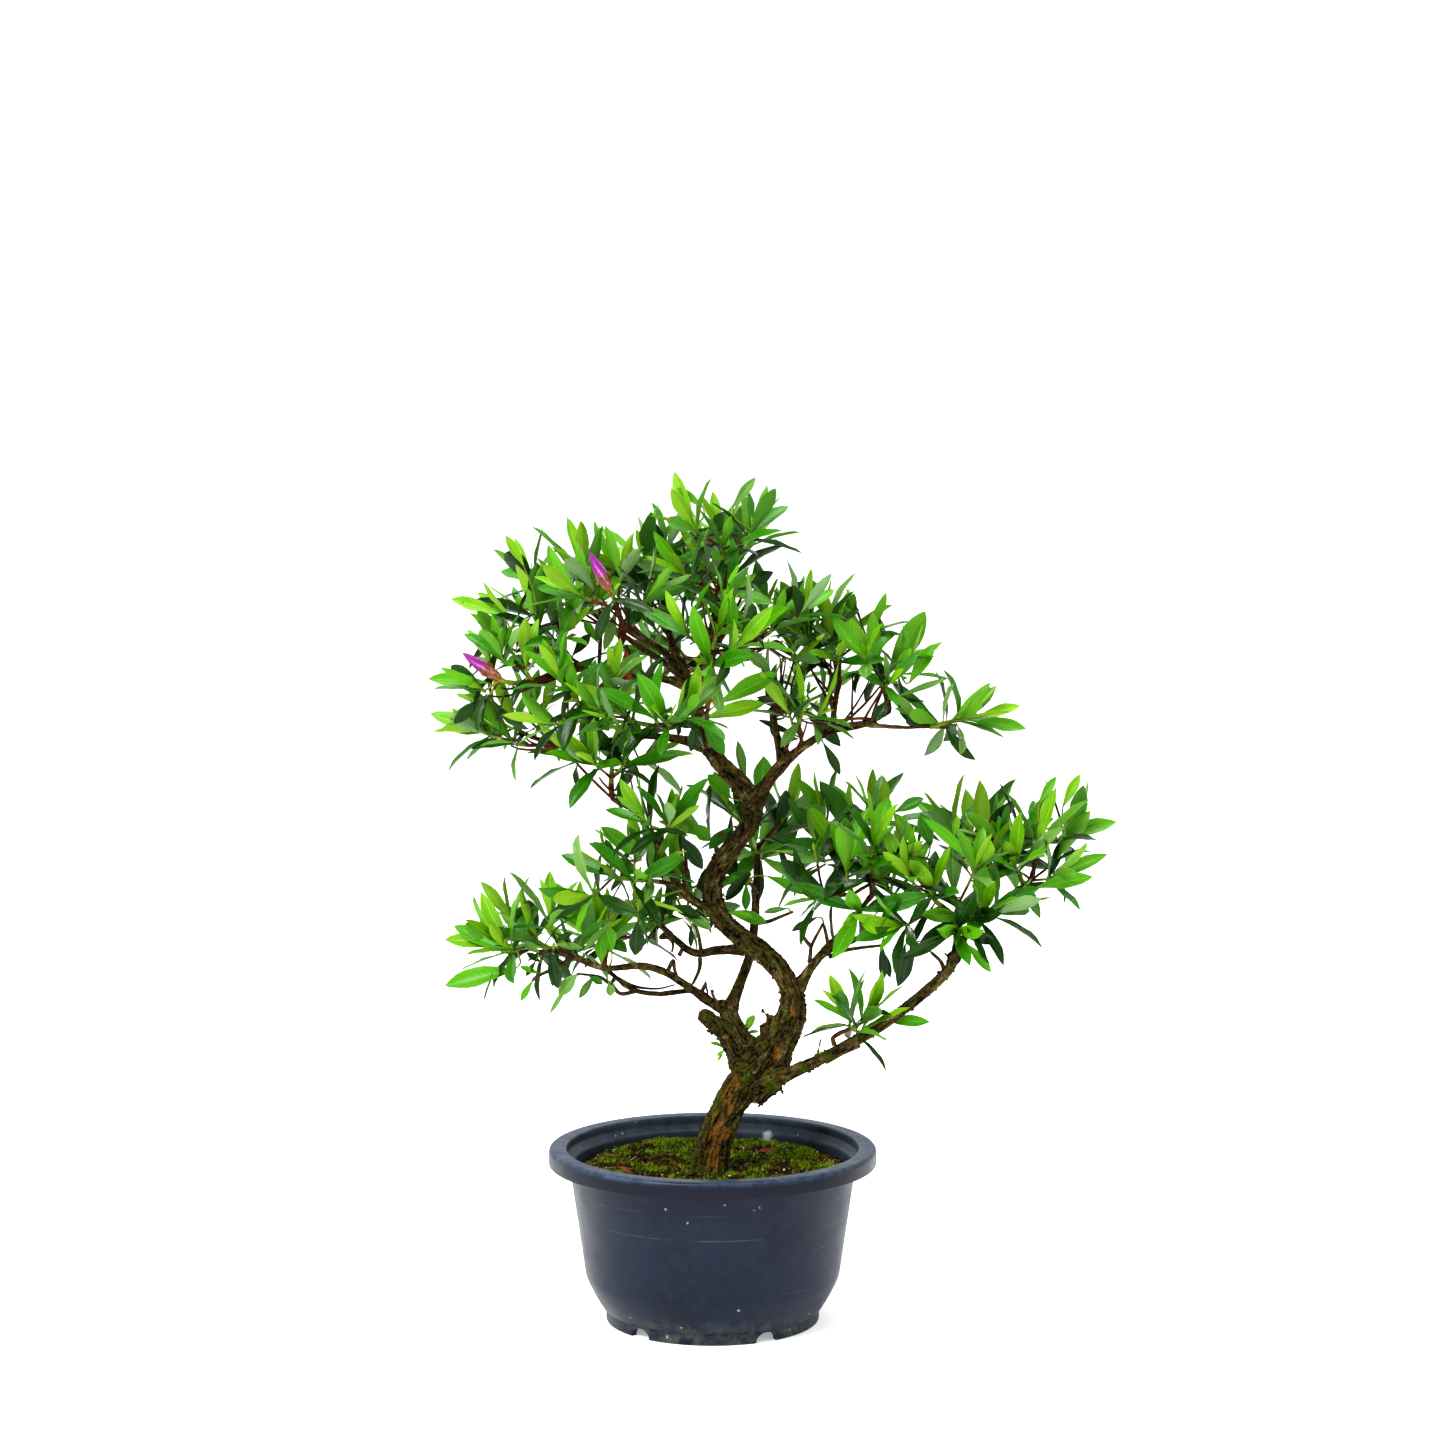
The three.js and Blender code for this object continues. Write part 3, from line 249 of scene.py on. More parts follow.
def random_stream(seed):
    """Numbers from 0 to 1 that are the same for the same seed, as in the part's source."""
    state = seed & 0xFFFFFFFF

    def following():
        nonlocal state
        state = (state + 0x6D2B79F5) & 0xFFFFFFFF
        t = state
        t = ((t ^ (t >> 15)) * (t | 1)) & 0xFFFFFFFF
        t ^= (t + (((t ^ (t >> 7)) * (t | 61)) & 0xFFFFFFFF)) & 0xFFFFFFFF
        return ((t ^ (t >> 14)) & 0xFFFFFFFF) / 4294967296.0

    return following


def centre_line(rows, steps=6):
    """A smooth line through a limb's rows, each a place and a radius."""
    known = [np.array(row, float) for row in rows]
    known = [2 * known[0] - known[1], *known, 2 * known[-1] - known[-2]]
    line = []
    for before, start, end, after in zip(known, known[1:], known[2:], known[3:]):
        for t in np.arange(steps) / steps:
            leaving = (end - before) / 2
            arriving = (after - start) / 2
            line.append(
                (2 * t**3 - 3 * t**2 + 1) * start
                + (t**3 - 2 * t**2 + t) * leaving
                + (3 * t**2 - 2 * t**3) * end
                + (t**3 - t**2) * arriving
            )
    line.append(known[-2])
    return np.array(line)


def path(start, leaving, end, arriving, shares):
    """A smooth path between two places with a direction at each, at shares of its length."""
    t = np.asarray(shares, float)[:, None]
    length = np.linalg.norm(end - start)
    return (
        (2 * t**3 - 3 * t**2 + 1) * start
        + (t**3 - 2 * t**2 + t) * leaving * length * 0.8
        + (3 * t**2 - 2 * t**3) * end
        + (t**3 - t**2) * arriving * length * 0.7
    )


def segments(line):
    return np.hstack([line[:-1], line[1:]])


def gap_to(points, pieces):
    """The distance from each point to the nearest round segment's surface."""
    start, end = pieces[None, :, :3], pieces[None, :, 4:7]
    along = end - start
    off = points[:, None, :] - start
    t = np.clip((off * along).sum(-1) / (along * along).sum(-1), 0, 1)
    radius = pieces[None, :, 3] + (pieces[None, :, 7] - pieces[None, :, 3]) * t
    return (np.linalg.norm(off - along * t[..., None], axis=-1) - radius).min(1)


class Plant:
    """The limbs' lines and the masses' own spaces, as the part's source lays them out."""

    def __init__(self):
        self.lines = {name: centre_line(rows) for name, rows in LIMBS.items()}
        self.pieces = np.vstack([segments(line) for line in self.lines.values()])
        self.middles = np.array([mass["centre"] for mass in MASSES], float)
        self.spreads = np.array([mass["spread"] for mass in MASSES], float)
        self.reaches = self.spreads + LEAF_REACH
        self.stems = [self.stem_of(mass) for mass in MASSES]

    def foot_of(self, mass):
        """Where a mass's stem leaves its limb: off the tip, or off the side towards the mass."""
        line = self.lines[mass["limb"]]
        at = mass["at"] * (len(line) - 1)
        k = min(int(at), len(line) - 2)
        heading = unit((line[k + 1] - line[k])[:3])
        place = line[k] + (line[k + 1] - line[k]) * (at - k)
        if mass["at"] >= 1:
            return place[:3] + heading * TIP_GAP, heading
        towards = vector(*mass["centre"]) - place[:3]
        out = unit(towards - heading * towards.dot(heading))
        return place[:3] + out * (place[3] + SIDE_GAP), unit(out + 0.4 * heading)

    def stem_of(self, mass):
        """The stem runs from its foot, up a short collar, to the leading shoot in the mass's middle."""
        foot, heading = self.foot_of(mass)
        middle = vector(*mass["centre"])
        collar = foot + heading * COLLAR
        way = unit(middle - collar)
        following = random_stream(mass["seed"] * 131 + 5)
        lean = shake(following) + vector(0, 0, mass.get("lift", 0.8))
        axis = unit(vector(*mass["aim"]) if "aim" in mass else lean + way * 0.9)
        start = unit(heading * 0.5 + way)
        count = min(4, max(1, math.ceil(np.linalg.norm(middle - collar) / TWIG_PIECE)))
        places = np.vstack([foot, path(collar, start, middle, axis, np.arange(count + 1) / count)])
        ringed = np.hstack([places, np.full((len(places), 1), STEM_RADIUS)])
        return {"foot": foot, "heading": heading, "axis": axis, "start": start, "line": ringed}

    def owned(self, index, points):
        """How far out each point is in a mass's own space, and in the nearest other mass's."""
        shares = ((np.atleast_2d(points)[:, None, :] - self.middles) / self.reaches) ** 2
        shares = shares.sum(-1)
        mine = shares[:, index].copy()
        shares[:, index] = np.inf
        return mine, shares.min(1)

    def obstacles(self, index):
        """Limbs and other masses' stems that a mass's twigs and leaves could touch."""
        others = [segments(stem["line"]) for k, stem in enumerate(self.stems) if k != index]
        pieces = np.vstack([self.pieces, *others])
        centres = (pieces[:, :3] + pieces[:, 4:7]) / 2
        inside = (((centres - self.middles[index]) / (self.reaches[index] + 8)) ** 2).sum(1) < 1
        close = np.linalg.norm(centres - self.stems[index]["foot"], axis=1) < 30
        return pieces[inside | close]


def shake(following):
    return vector(following() - 0.5, following() - 0.5, following() - 0.5) * 0.5


def shoot_tips(middle, spread, count, following, tips, inner):
    """Adds places for shoots: each is the one of ten tries that stands furthest from the rest."""
    for _ in range(count):
        best, widest = None, -1
        for _ in range(10):
            z = 2 * following() - 1
            angle = 2 * math.pi * following()
            flat = math.sqrt(max(0, 1 - z * z))
            out = inner + (1 - inner) * following()
            tip = middle + vector(flat * math.cos(angle), flat * math.sin(angle), z) * out * spread
            nearest = min(float(np.linalg.norm(tip - other)) for other in tips)
            if nearest > widest:
                best, widest = tip, nearest
        tips.append(best)


def grow_twigs(plant, index, near):
    """A mass's twigs: the stem, the shoots that the part's source has too, then the finer ones."""
    mass, stem = MASSES[index], plant.stems[index]
    following = random_stream(mass["seed"])
    middle, spread = plant.middles[index], plant.spreads[index]
    tips = [middle.copy()]
    shoot_tips(middle, spread, mass["shoots"] - 1, following, tips, 0.55)
    main = len(tips)
    shoot_tips(middle, spread, round(mass["shoots"] * FINER_SHOOTS), following, tips, 0.35)
    places = stem["line"][:, :3]
    nodes = [{"place": places[0], "heading": stem["heading"], "far": 0, "below": -1, "load": 1}]
    for k in range(1, len(places)):
        step = places[k] - places[k - 1]
        nodes.append({
            "place": places[k], "heading": unit(step) if k > 1 else stem["heading"],
            "far": nodes[-1]["far"] + float(np.linalg.norm(step)), "below": k - 1, "load": 1,
        })
    shoots = [{
        "chain": list(range(len(nodes))), "start": stem["start"], "tip": middle, "axis": stem["axis"],
        "seed": mass["seed"] * 977 + 7,
    }]

    def reach(k):
        return float(np.linalg.norm(tips[k] - stem["foot"]))

    for k in sorted(range(1, main), key=reach) + sorted(range(main, len(tips)), key=reach):
        join_shoot(plant, index, near, nodes, shoots, tips[k], k)
    return nodes, shoots


def join_shoot(plant, index, near, nodes, shoots, tip, k):
    """A shoot joins the twig that it reaches by the shortest and straightest way, if that is clear."""
    mass = MASSES[index]
    jitter = shake(random_stream(mass["seed"] * 131 + k * 17 + 5))
    out = (tip - plant.middles[index]) / plant.spreads[index]
    ways = []
    for n, node in enumerate(nodes[1:], 1):
        step = tip - node["place"]
        length = float(np.linalg.norm(step))
        if length >= 4:
            turn = 1 - float(step @ node["heading"]) / length
            ways.append((length * (1 + 0.7 * turn) + 0.3 * node["far"], n, length))
    for _, n, length in sorted(ways)[:5]:
        start = nodes[n]["place"]
        way = unit(tip - start)
        axis = unit(out * 0.55 + vector(0, 0, mass.get("lift", 0.8)) + way * 0.5 + jitter)
        leaving = unit(nodes[n]["heading"] * 0.5 + way)
        count = min(3, max(1, math.ceil(length / TWIG_PIECE)))
        corners = path(start, leaving, tip, axis, np.arange(1, count + 1) / count)
        line = np.vstack([start, corners])
        chords = np.vstack([line[:-1] + (line[1:] - line[:-1]) * share for share in (0.25, 0.5, 0.75)])
        chords = chords[np.argsort(np.tile(np.arange(count), 3), kind="stable")]
        curve = path(start, leaving, tip, axis, np.arange(2, 9) / 8)
        probes = np.vstack([curve, chords[1 if n > 1 else 2:]])
        mine, other = plant.owned(index, probes)
        held = (mine < 1) & (other > mine * TWIG_MARGIN)
        if not held[0 if n > 1 else 2:].all() or (gap_to(probes, near) <= TWIG_CLEARANCE).any():
            continue
        chain = [n]
        for corner in corners:
            below = nodes[chain[-1]]
            step = corner - below["place"]
            nodes.append({
                "place": corner, "heading": unit(step), "far": below["far"] + float(np.linalg.norm(step)),
                "below": chain[-1], "load": 0,
            })
            chain.append(len(nodes) - 1)
        lower = chain[-1]
        while lower >= 0:
            nodes[lower]["load"] += 1
            lower = nodes[lower]["below"]
        shoots.append({
            "chain": chain, "start": leaving, "tip": tip, "axis": axis,
            "seed": mass["seed"] * 977 + k * 31 + 7,
        })
        return


def leaf_spots(mass, shoot):
    """The leaves of a shoot, in a whorl round its tip: young and upright first, old and spreading last."""
    following = random_stream(shoot["seed"])
    axis = shoot["axis"]
    ring_at = round_axis(axis, 0.31, 0.95, 0.12)
    count = 6 + int(4 * following())
    phase = 2 * math.pi * following()
    size = 0.9 + 0.2 * following()
    if mass["name"].startswith(LARGE_LEAVED):
        size *= LARGE_LEAF_SHARE
    leaves = []
    for j in range(count):
        r = [following() for _ in range(6)]
        t = j / (count - 1)
        turn = phase + j * GOLDEN_ANGLE
        opening = math.radians(12 + 58 * t + 34 * t**6 + 24 * (r[0] - 0.5))
        ring = ring_at(turn)
        along = axis * math.cos(opening) + ring * math.sin(opening)
        face = unit(axis - along * axis.dot(along)) if opening > 0.15 else -ring
        face = face + vector(r[1] - 0.5, r[2] - 0.5, r[1] - r[2]) * 0.35
        length = LEAF_LENGTH * size * (0.6 + 0.52 * math.sin(math.pi * (0.16 + 0.72 * t)))
        length *= 0.8 + 0.4 * r[3]
        leaves.append({
            "root": shoot["tip"] + axis * (1.2 - 6.2 * t), "along": along,
            "face": unit(face - along * face.dot(along)),
            "length": length, "width": length * (0.2 + 0.1 * r[4]),
            "bend": math.radians(3 + 34 * t) * (0.4 + r[5]), "age": t, "chance": r[2],
        })
    return leaves


def on_leaves(leaves, share, across, lift=0.0):
    """Places on leaves that bend down along their length and lift towards their edges."""
    share, across, lift = np.broadcast_arrays(share, across, lift)
    root, along, face = (leaves[key][:, None, :] for key in ("root", "along", "face"))
    length, width, bend = (leaves[key][:, None] for key in ("length", "width", "bend"))
    angle = bend * share
    half = width / 2 * np.clip(np.sin(np.pi * share**1.3), 0, 1) ** 0.9 + LEAF_STALK * (1 - share) ** 3
    normal = face * np.cos(angle)[..., None] + along * np.sin(angle)[..., None]
    return (
        root
        + along * (length * np.sin(angle) / bend)[..., None]
        - face * (length * (1 - np.cos(angle)) / bend)[..., None]
        + np.cross(along, face) * (half * across)[..., None]
        + normal * (lift + np.abs(across) * half * 0.25)[..., None]
    )


def stack(leaves):
    """A list of leaves as one table of arrays."""
    return {key: np.array([leaf[key] for leaf in leaves]) for key in leaves[0]}


PROBE_SHARES = np.array([0.12, 0.24, 0.36, 0.48, 0.6, 0.72, 0.84, 0.93, 1])
PROBES = [grid.ravel() for grid in np.meshgrid(PROBE_SHARES, [-1, -0.5, 0, 0.5, 1], indexing="ij")]


def fitting(plant, index, leaves, near):
    """Which leaves stay in the mass's reach and clear of limbs."""
    places = on_leaves(leaves, *PROBES).reshape(-1, 3)
    mine, _ = plant.owned(index, places)
    clear = (mine < 1) & (gap_to(places, near) > LEAF_CLEARANCE)
    return clear.reshape(len(leaves["age"]), -1).all(1)


def trimmed(plant, index, whorl, near):
    """Leaves that would reach too far stay shorter, and those that still would are left out."""
    for share in (0.86, 0.82):
        kept = fitting(plant, index, whorl, near)
        size = np.where(kept, 1, share)
        whorl = {**whorl, "length": whorl["length"] * size, "width": whorl["width"] * size}
    kept = fitting(plant, index, whorl, near)
    return {key: value[kept] for key, value in whorl.items()}


def clear_of_buds(plant, leaves):
    """Which leaves leave the flower buds and the space in front of them open."""
    places = on_leaves(leaves, *PROBES)
    clear = np.ones(len(places), bool)
    for k, mass in enumerate(MASSES):
        if mass.get("bud"):
            axis = plant.stems[k]["axis"]
            off = places - plant.middles[k]
            flat = unit(vector(axis[0], 0, axis[2]))
            along = off @ flat
            across = off @ vector(-flat[2], 0, flat[0])
            before = (np.abs(across) < 4.6) & (along > 1) & (along < FLOWER_LENGTH + 2)
            clear &= ~(before & (off[..., 1] < 3.4) & (off[..., 1] > -70)).any(1)
    return clear


# Openings in the foliage where bare twigs show from the front: across, up and half width
OPENINGS = [
    (-62, 371, 1.5), (-13, 368, 3.5), (19, 354, 6), (2, 404, 1.5), (-20, 348, 2), (-39, 360, 2.5),
    (-105, 393, 1), (-110, 359, 1), (-103, 341, 1), (-83, 341, 1.5), (-75, 379, 1.5), (41, 364, 2),
    (54, 348, 4), (31, 379, 1.5), (71, 343, 3.5), (12, 335, 5), (-5, 257, 4), (-12, 265, 2), (49, 269, 2),
    (35, 240, 3.5), (-39, 254, 1.5),
]
EYE = vector(5.4, -1843, 508)
OPENING_DEPTH = -10


def clear_of_openings(leaves):
    """Which leaves stay out of the openings."""
    off = on_leaves(leaves, *PROBES) - EYE
    clear = np.ones(len(off), bool)
    for x, z, wide in OPENINGS:
        way = unit(vector(x, OPENING_DEPTH, z) - EYE)
        apart = np.linalg.norm(off - (off @ way)[..., None] * way, axis=-1)
        clear &= ~(apart < wide).any(1)
    return clear


BARE_TWIGS_FROM = 300
BARE_TWIGS_EACH = 5


def bare_twigs(plant):
    """Leafless twigs inside the upper masses, each from the mass's own bough or stem into its lower half."""
    lines = []
    for index, mass in enumerate(MASSES):
        if mass["centre"][2] < BARE_TWIGS_FROM:
            continue
        following = random_stream(mass["seed"] * 57 + 11)
        bough = plant.lines[mass["limb"]]
        near = plant.obstacles(index)
        for _ in range(BARE_TWIGS_EACH):
            foot = bough[int((0.35 + 0.6 * following()) * (len(bough) - 1))]
            out = vector(following() - 0.5, following() - 0.5, 0.5 * following() - 0.6)
            tip = plant.middles[index] + unit(out) * plant.spreads[index] * (0.4 + 0.5 * following())
            way = unit(tip - foot[:3])
            leaving = unit(way + shake(following) * 1.6)
            line = path(foot[:3], leaving, tip, unit(way + vector(0, 0, 0.7)), np.linspace(0, 1, 9))
            if 12 < np.linalg.norm(tip - foot[:3]) < 60 and (gap_to(line[4:], near) > 0.8).all():
                radius = np.linspace(0.85, 0.4, 9) * (0.8 + 0.5 * following())
                lines.append(np.hstack([line, radius[:, None]]))
    return lines


@lru_cache(maxsize=1)
def grown():
    """Every twig, shoot and leaf of the plant, grown once and read by each piece."""
    plant = Plant()
    twigs, leaves = [], []
    for index, mass in enumerate(MASSES):
        near = plant.obstacles(index)
        nodes, shoots = grow_twigs(plant, index, near)
        for k, shoot in enumerate(shoots):
            twigs.append({"mass": mass, "nodes": nodes, "leading": k == 0, **shoot})
            spots = leaf_spots(mass, shoot)
            if mass.get("bud") and k == 0:
                spots = [spot for spot in spots if spot["age"] > 0.35]
            whorl = stack(spots)
            whorl["spray"] = np.full(len(spots), random_stream(shoot["seed"] + 3)())
            leaves.append(trimmed(plant, index, whorl, near))
    every = {key: np.concatenate([whorl[key] for whorl in leaves]) for key in leaves[0]}
    clear = clear_of_buds(plant, every) & clear_of_openings(every)
    return plant, twigs, {key: value[clear] for key, value in every.items()}


# Meshes and nodes


def linear(colour):
    """An sRGB hex colour as linear red, green and blue."""
    channels = [int(colour[k:k + 2], 16) / 255 for k in (1, 3, 5)]
    return tuple(c / 12.92 if c <= 0.04045 else ((c + 0.055) / 1.055) ** 2.4 for c in channels)


def set_inputs(tree, node, inputs):
    """Links or sets inputs, by name or number; a node as a value stands for its first result in use."""
    for key, value in inputs.items():
        socket = node.inputs[key]
        if isinstance(value, bpy.types.Node):
            value = next(result for result in value.outputs if result.enabled)
        if isinstance(value, bpy.types.NodeSocket):
            tree.links.new(value, socket)
        elif socket.type == "RGBA":
            socket.default_value = (*tuple(value)[:3], 1)
        else:
            socket.default_value = value


# In order, a noise texture takes its place, scale, detail and roughness, a map range its value, the
# range that this comes from and the one that it goes to, and a mix its share and two colours
def add_node(tree, kind, *values, inputs=None, **settings):
    """Adds a node, sets it up, and gives its inputs their values: those in use in order, or by name."""
    node = tree.nodes.new(kind)
    for name, value in settings.items():
        setattr(node, name, value)
    used = [number for number, socket in enumerate(node.inputs) if socket.enabled]
    set_inputs(tree, node, {**dict(zip(used, values)), **(inputs or {})})
    return node


def new_material(name, **uniform):
    """A material with one principled shader, whose uniform values are set on its own sockets."""
    material = bpy.data.materials.new(name)
    material.use_nodes = True
    tree = material.node_tree
    tree.nodes.clear()
    values = {key.replace("_", " "): value for key, value in uniform.items()}
    shader = add_node(tree, "ShaderNodeBsdfPrincipled", inputs=values)
    add_node(tree, "ShaderNodeOutputMaterial", inputs={"Surface": shader})
    return material, tree, shader


def make_mesh(name, places, faces, smooth=True):
    """A mesh from places in millimetres."""
    mesh = bpy.data.meshes.new(name)
    mesh.from_pydata((np.asarray(places, float) * MM).tolist(), [], [list(map(int, face)) for face in faces])
    mesh.validate()
    if smooth:
        mesh.shade_smooth()
    return mesh


def set_attribute(mesh, name, values):
    layer = mesh.attributes.new(name, "FLOAT", "POINT")
    layer.data.foreach_set("value", np.asarray(values, np.float32))


def mesh_places(mesh):
    """A mesh's points in millimetres, and their normals."""
    places = np.empty(len(mesh.vertices) * 3, np.float32)
    mesh.vertices.foreach_get("co", places)
    normals = np.empty(len(mesh.vertices) * 3, np.float32)
    mesh.vertex_normals.foreach_get("vector", normals)
    return places.reshape(-1, 3).astype(float) / MM, normals.reshape(-1, 3).astype(float)


def move_places(mesh, places):
    mesh.vertices.foreach_set("co", (places * MM).astype(np.float32).ravel())
    mesh.update()


def object_from(name, mesh):
    thing = bpy.data.objects.new(name, mesh)
    bpy.context.scene.collection.objects.link(thing)
    return thing


def evaluated_mesh(name, thing):
    """The plain mesh that an object's modifiers make; the object goes."""
    bpy.context.view_layer.update()
    graph = bpy.context.evaluated_depsgraph_get()
    mesh = bpy.data.meshes.new_from_object(
        thing.evaluated_get(graph), preserve_all_data_layers=True, depsgraph=graph
    )
    mesh.name = name
    thing.modifiers.clear()
    bpy.data.objects.remove(thing)
    return mesh


def mesh_from_tree(name, mesh, tree, values):
    """The plain mesh that a Geometry Nodes tree makes of a mesh, with its inputs set by name."""
    carrier = object_from(name, mesh)
    modifier = carrier.modifiers.new(name, "NODES")
    modifier.node_group = tree
    for item in tree.interface.items_tree:
        if item.item_type == "SOCKET" and item.in_out == "INPUT" and item.name in values:
            modifier[item.identifier] = values[item.name]
    return evaluated_mesh(name, carrier)


def finish_piece(name, mesh, material, replaced=()):
    """The finished piece: an object at the origin that rides with the plant."""
    mesh.materials.clear()
    mesh.materials.append(material)
    piece = object_from(name, mesh)
    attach(piece, "root")
    if replaced:
        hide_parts(*replaced)
    return piece


def tree_with(name, inputs):
    """A Geometry Nodes tree with named inputs, each with a kind of socket and a default."""
    tree = bpy.data.node_groups.new(name, "GeometryNodeTree")
    tree.interface.new_socket("Geometry", in_out="INPUT", socket_type="NodeSocketGeometry")
    tree.interface.new_socket("Geometry", in_out="OUTPUT", socket_type="NodeSocketGeometry")
    for label, (kind, default) in inputs.items():
        socket = tree.interface.new_socket(label, in_out="INPUT", socket_type="NodeSocket" + kind)
        if default is not None:
            socket.default_value = default
    return (tree, add_node(tree, "NodeGroupInput").outputs)


def end_tree(tree, geometry, material):
    """Ends a tree in plain, painted geometry."""
    plain = add_node(tree, "GeometryNodeRealizeInstances", inputs={"Geometry": geometry})
    painted = add_node(tree, "GeometryNodeSetMaterial", inputs={"Geometry": plain, "Material": material})
    add_node(tree, "NodeGroupOutput", inputs={"Geometry": painted})


@lru_cache(maxsize=1)
def tube_tree():
    """Round tubes along the edges of a mesh, as thick as its thickness attribute says."""
    tree, given = tree_with("Tubes along shoots", {"Sides": ("Int", 7), "Material": ("Material", None)})
    thickness = add_node(
        tree, "GeometryNodeInputNamedAttribute", data_type="FLOAT", inputs={"Name": "thickness"}
    )
    line = add_node(tree, "GeometryNodeMeshToCurve", inputs={"Mesh": given["Geometry"]})
    ring = add_node(
        tree, "GeometryNodeCurvePrimitiveCircle", inputs={"Resolution": given["Sides"], "Radius": 1.0}
    )
    tube = add_node(
        tree, "GeometryNodeCurveToMesh",
        inputs={"Curve": line, "Profile Curve": ring, "Scale": thickness, "Fill Caps": True},
    )
    smooth = add_node(tree, "GeometryNodeSetShadeSmooth", tube)
    end_tree(tree, smooth, given["Material"])
    return tree


@lru_cache(maxsize=1)
def scatter_tree():
    """Copies of a small piece over a surface, as dense as one of the surface's attributes says."""
    tree, given = tree_with("Scatter over a surface", {
        "Piece": ("Object", None), "Where": ("String", "cover"), "Per square metre": ("Float", 1e5),
        "Seed": ("Int", 1), "Smallest": ("Float", 0.7), "Largest": ("Float", 1.3), "Tilt": ("Float", 0.4),
        "Material": ("Material", None),
    })
    cover = add_node(
        tree, "GeometryNodeInputNamedAttribute", data_type="FLOAT", inputs={"Name": given["Where"]}
    )
    dense = add_node(tree, "ShaderNodeMath", cover, given["Per square metre"], operation="MULTIPLY")
    spots = add_node(
        tree, "GeometryNodeDistributePointsOnFaces",
        inputs={"Mesh": given["Geometry"], "Density": dense, "Seed": given["Seed"]},
    )
    size = add_node(
        tree, "FunctionNodeRandomValue", given["Smallest"], given["Largest"], data_type="FLOAT",
        inputs={"Seed": given["Seed"]},
    )
    back = add_node(tree, "ShaderNodeMath", given["Tilt"], -1.0, operation="MULTIPLY")
    least = add_node(tree, "ShaderNodeCombineXYZ", back, back, -math.pi)
    most = add_node(tree, "ShaderNodeCombineXYZ", given["Tilt"], given["Tilt"], math.pi)
    turn = add_node(
        tree, "FunctionNodeRandomValue", least, most, data_type="FLOAT_VECTOR", inputs={"Seed": given["Seed"]}
    )
    spin = add_node(tree, "FunctionNodeEulerToRotation", turn)
    turned = add_node(
        tree, "FunctionNodeRotateRotation", rotation_space="LOCAL",
        inputs={"Rotation": spots.outputs["Rotation"], "Rotate By": spin},
    )
    shape = add_node(tree, "GeometryNodeObjectInfo", inputs={"Object": given["Piece"]})
    copies = add_node(
        tree, "GeometryNodeInstanceOnPoints",
        inputs={
            "Points": spots.outputs["Points"], "Instance": shape.outputs["Geometry"],
            "Rotation": turned, "Scale": size,
        },
    )
    end_tree(tree, copies, given["Material"])
    return tree


def scattered(name, surface, piece, material, **values):
    """A mesh of copies of a piece, given as places and faces, over a copy of a surface."""
    places, faces = piece
    model = object_from(name + " model", make_mesh(name + " model", places, faces))
    values = {key.replace("_", " ").capitalize(): value for key, value in values.items()}
    values.update({"Piece": model, "Material": material})
    mesh = mesh_from_tree(name, surface.copy(), scatter_tree(), values)
    bpy.data.objects.remove(model)
    return mesh


def joined(shapes):
    """Several shapes, each given as places and faces, as one."""
    places, faces, count = [], [], 0
    for own_places, own_faces in shapes:
        places.append(np.asarray(own_places, float))
        faces += [[count + k for k in face] for face in own_faces]
        count += len(own_places)
    return np.vstack(places), faces


def ring_faces(sides, rings, first, start, end, turned=False):
    """The faces of a closed stack of rings of points, with a fan from one more point at either end."""
    last = first + (rings - 1) * sides
    faces = []
    for j in range(sides):
        after = (j + 1) % sides
        faces += [[start, first + j, first + after], [end, last + after, last + j]]
        faces += [
            [low + j, low + sides + j, low + sides + after, low + after] for low in range(first, last, sides)
        ]
    return [[face[0], *face[:0:-1]] for face in faces] if turned else faces


def ball(centre, radius, rings=7, sides=12):
    """A closed ball."""
    places = [[0, 0, 1]]
    for k in range(1, rings):
        down = math.pi * k / rings
        for j in range(sides):
            turn = 2 * math.pi * j / sides
            places.append([math.sin(down) * math.cos(turn), math.sin(down) * math.sin(turn), math.cos(down)])
    places.append([0, 0, -1])
    faces = ring_faces(sides, rings - 1, 1, 0, len(places) - 1)
    return np.array(places) * radius + np.array(centre), faces


def transported(line):
    """Two directions across a line at each of its places, that turn as little as they can."""
    places = line[:, :3]
    steps = np.gradient(places, axis=0)
    steps /= np.linalg.norm(steps, axis=1)[:, None]
    side = vector(1, 0, 0) - steps[0] * steps[0][0]
    if np.linalg.norm(side) < 0.3:
        side = vector(0, 1, 0) - steps[0] * steps[0][1]
    sides = []
    for step in steps:
        side = unit(side - step * side.dot(step))
        sides.append(side)
    sides = np.array(sides)
    return sides, np.cross(sides, steps)


def tube(line, sides, swell=None, round_tip=True):
    """A closed tube along a line of places and radii, with a rounded or a flat end."""
    line = np.asarray(line, float)
    if round_tip:
        heading = unit(line[-1, :3] - line[-2, :3])
        tip = line[-1]
        caps = [
            [*(tip[:3] + heading * tip[3] * math.sin(turn) * 0.8), tip[3] * math.cos(turn)]
            for turn in (0.5, 1.0, 1.35)
        ]
        line = np.vstack([line, caps])
    side, other = transported(line)
    turns = np.arange(sides) * 2 * math.pi / sides
    places = []
    for k, row in enumerate(line):
        radius = row[3] * np.array([swell(row, turn) if swell else 1 for turn in turns])
        ring = np.outer(np.cos(turns) * radius, side[k])
        places.append(row[:3] + ring + np.outer(np.sin(turns) * radius, other[k]))
    places = np.vstack([*places, line[:1, :3], line[-1:, :3]])
    return places, ring_faces(sides, len(line), 0, len(places) - 2, len(places) - 1)


def point_outwards(places, faces):
    """Turns all faces over if the closed shape is inside out."""
    places = np.asarray(places, float)
    volume = sum(
        float(places[face[0]] @ np.cross(places[face[k]], places[face[k + 1]]))
        for face in faces for k in range(1, len(face) - 1)
    )
    return faces if volume > 0 else [list(face)[::-1] for face in faces]


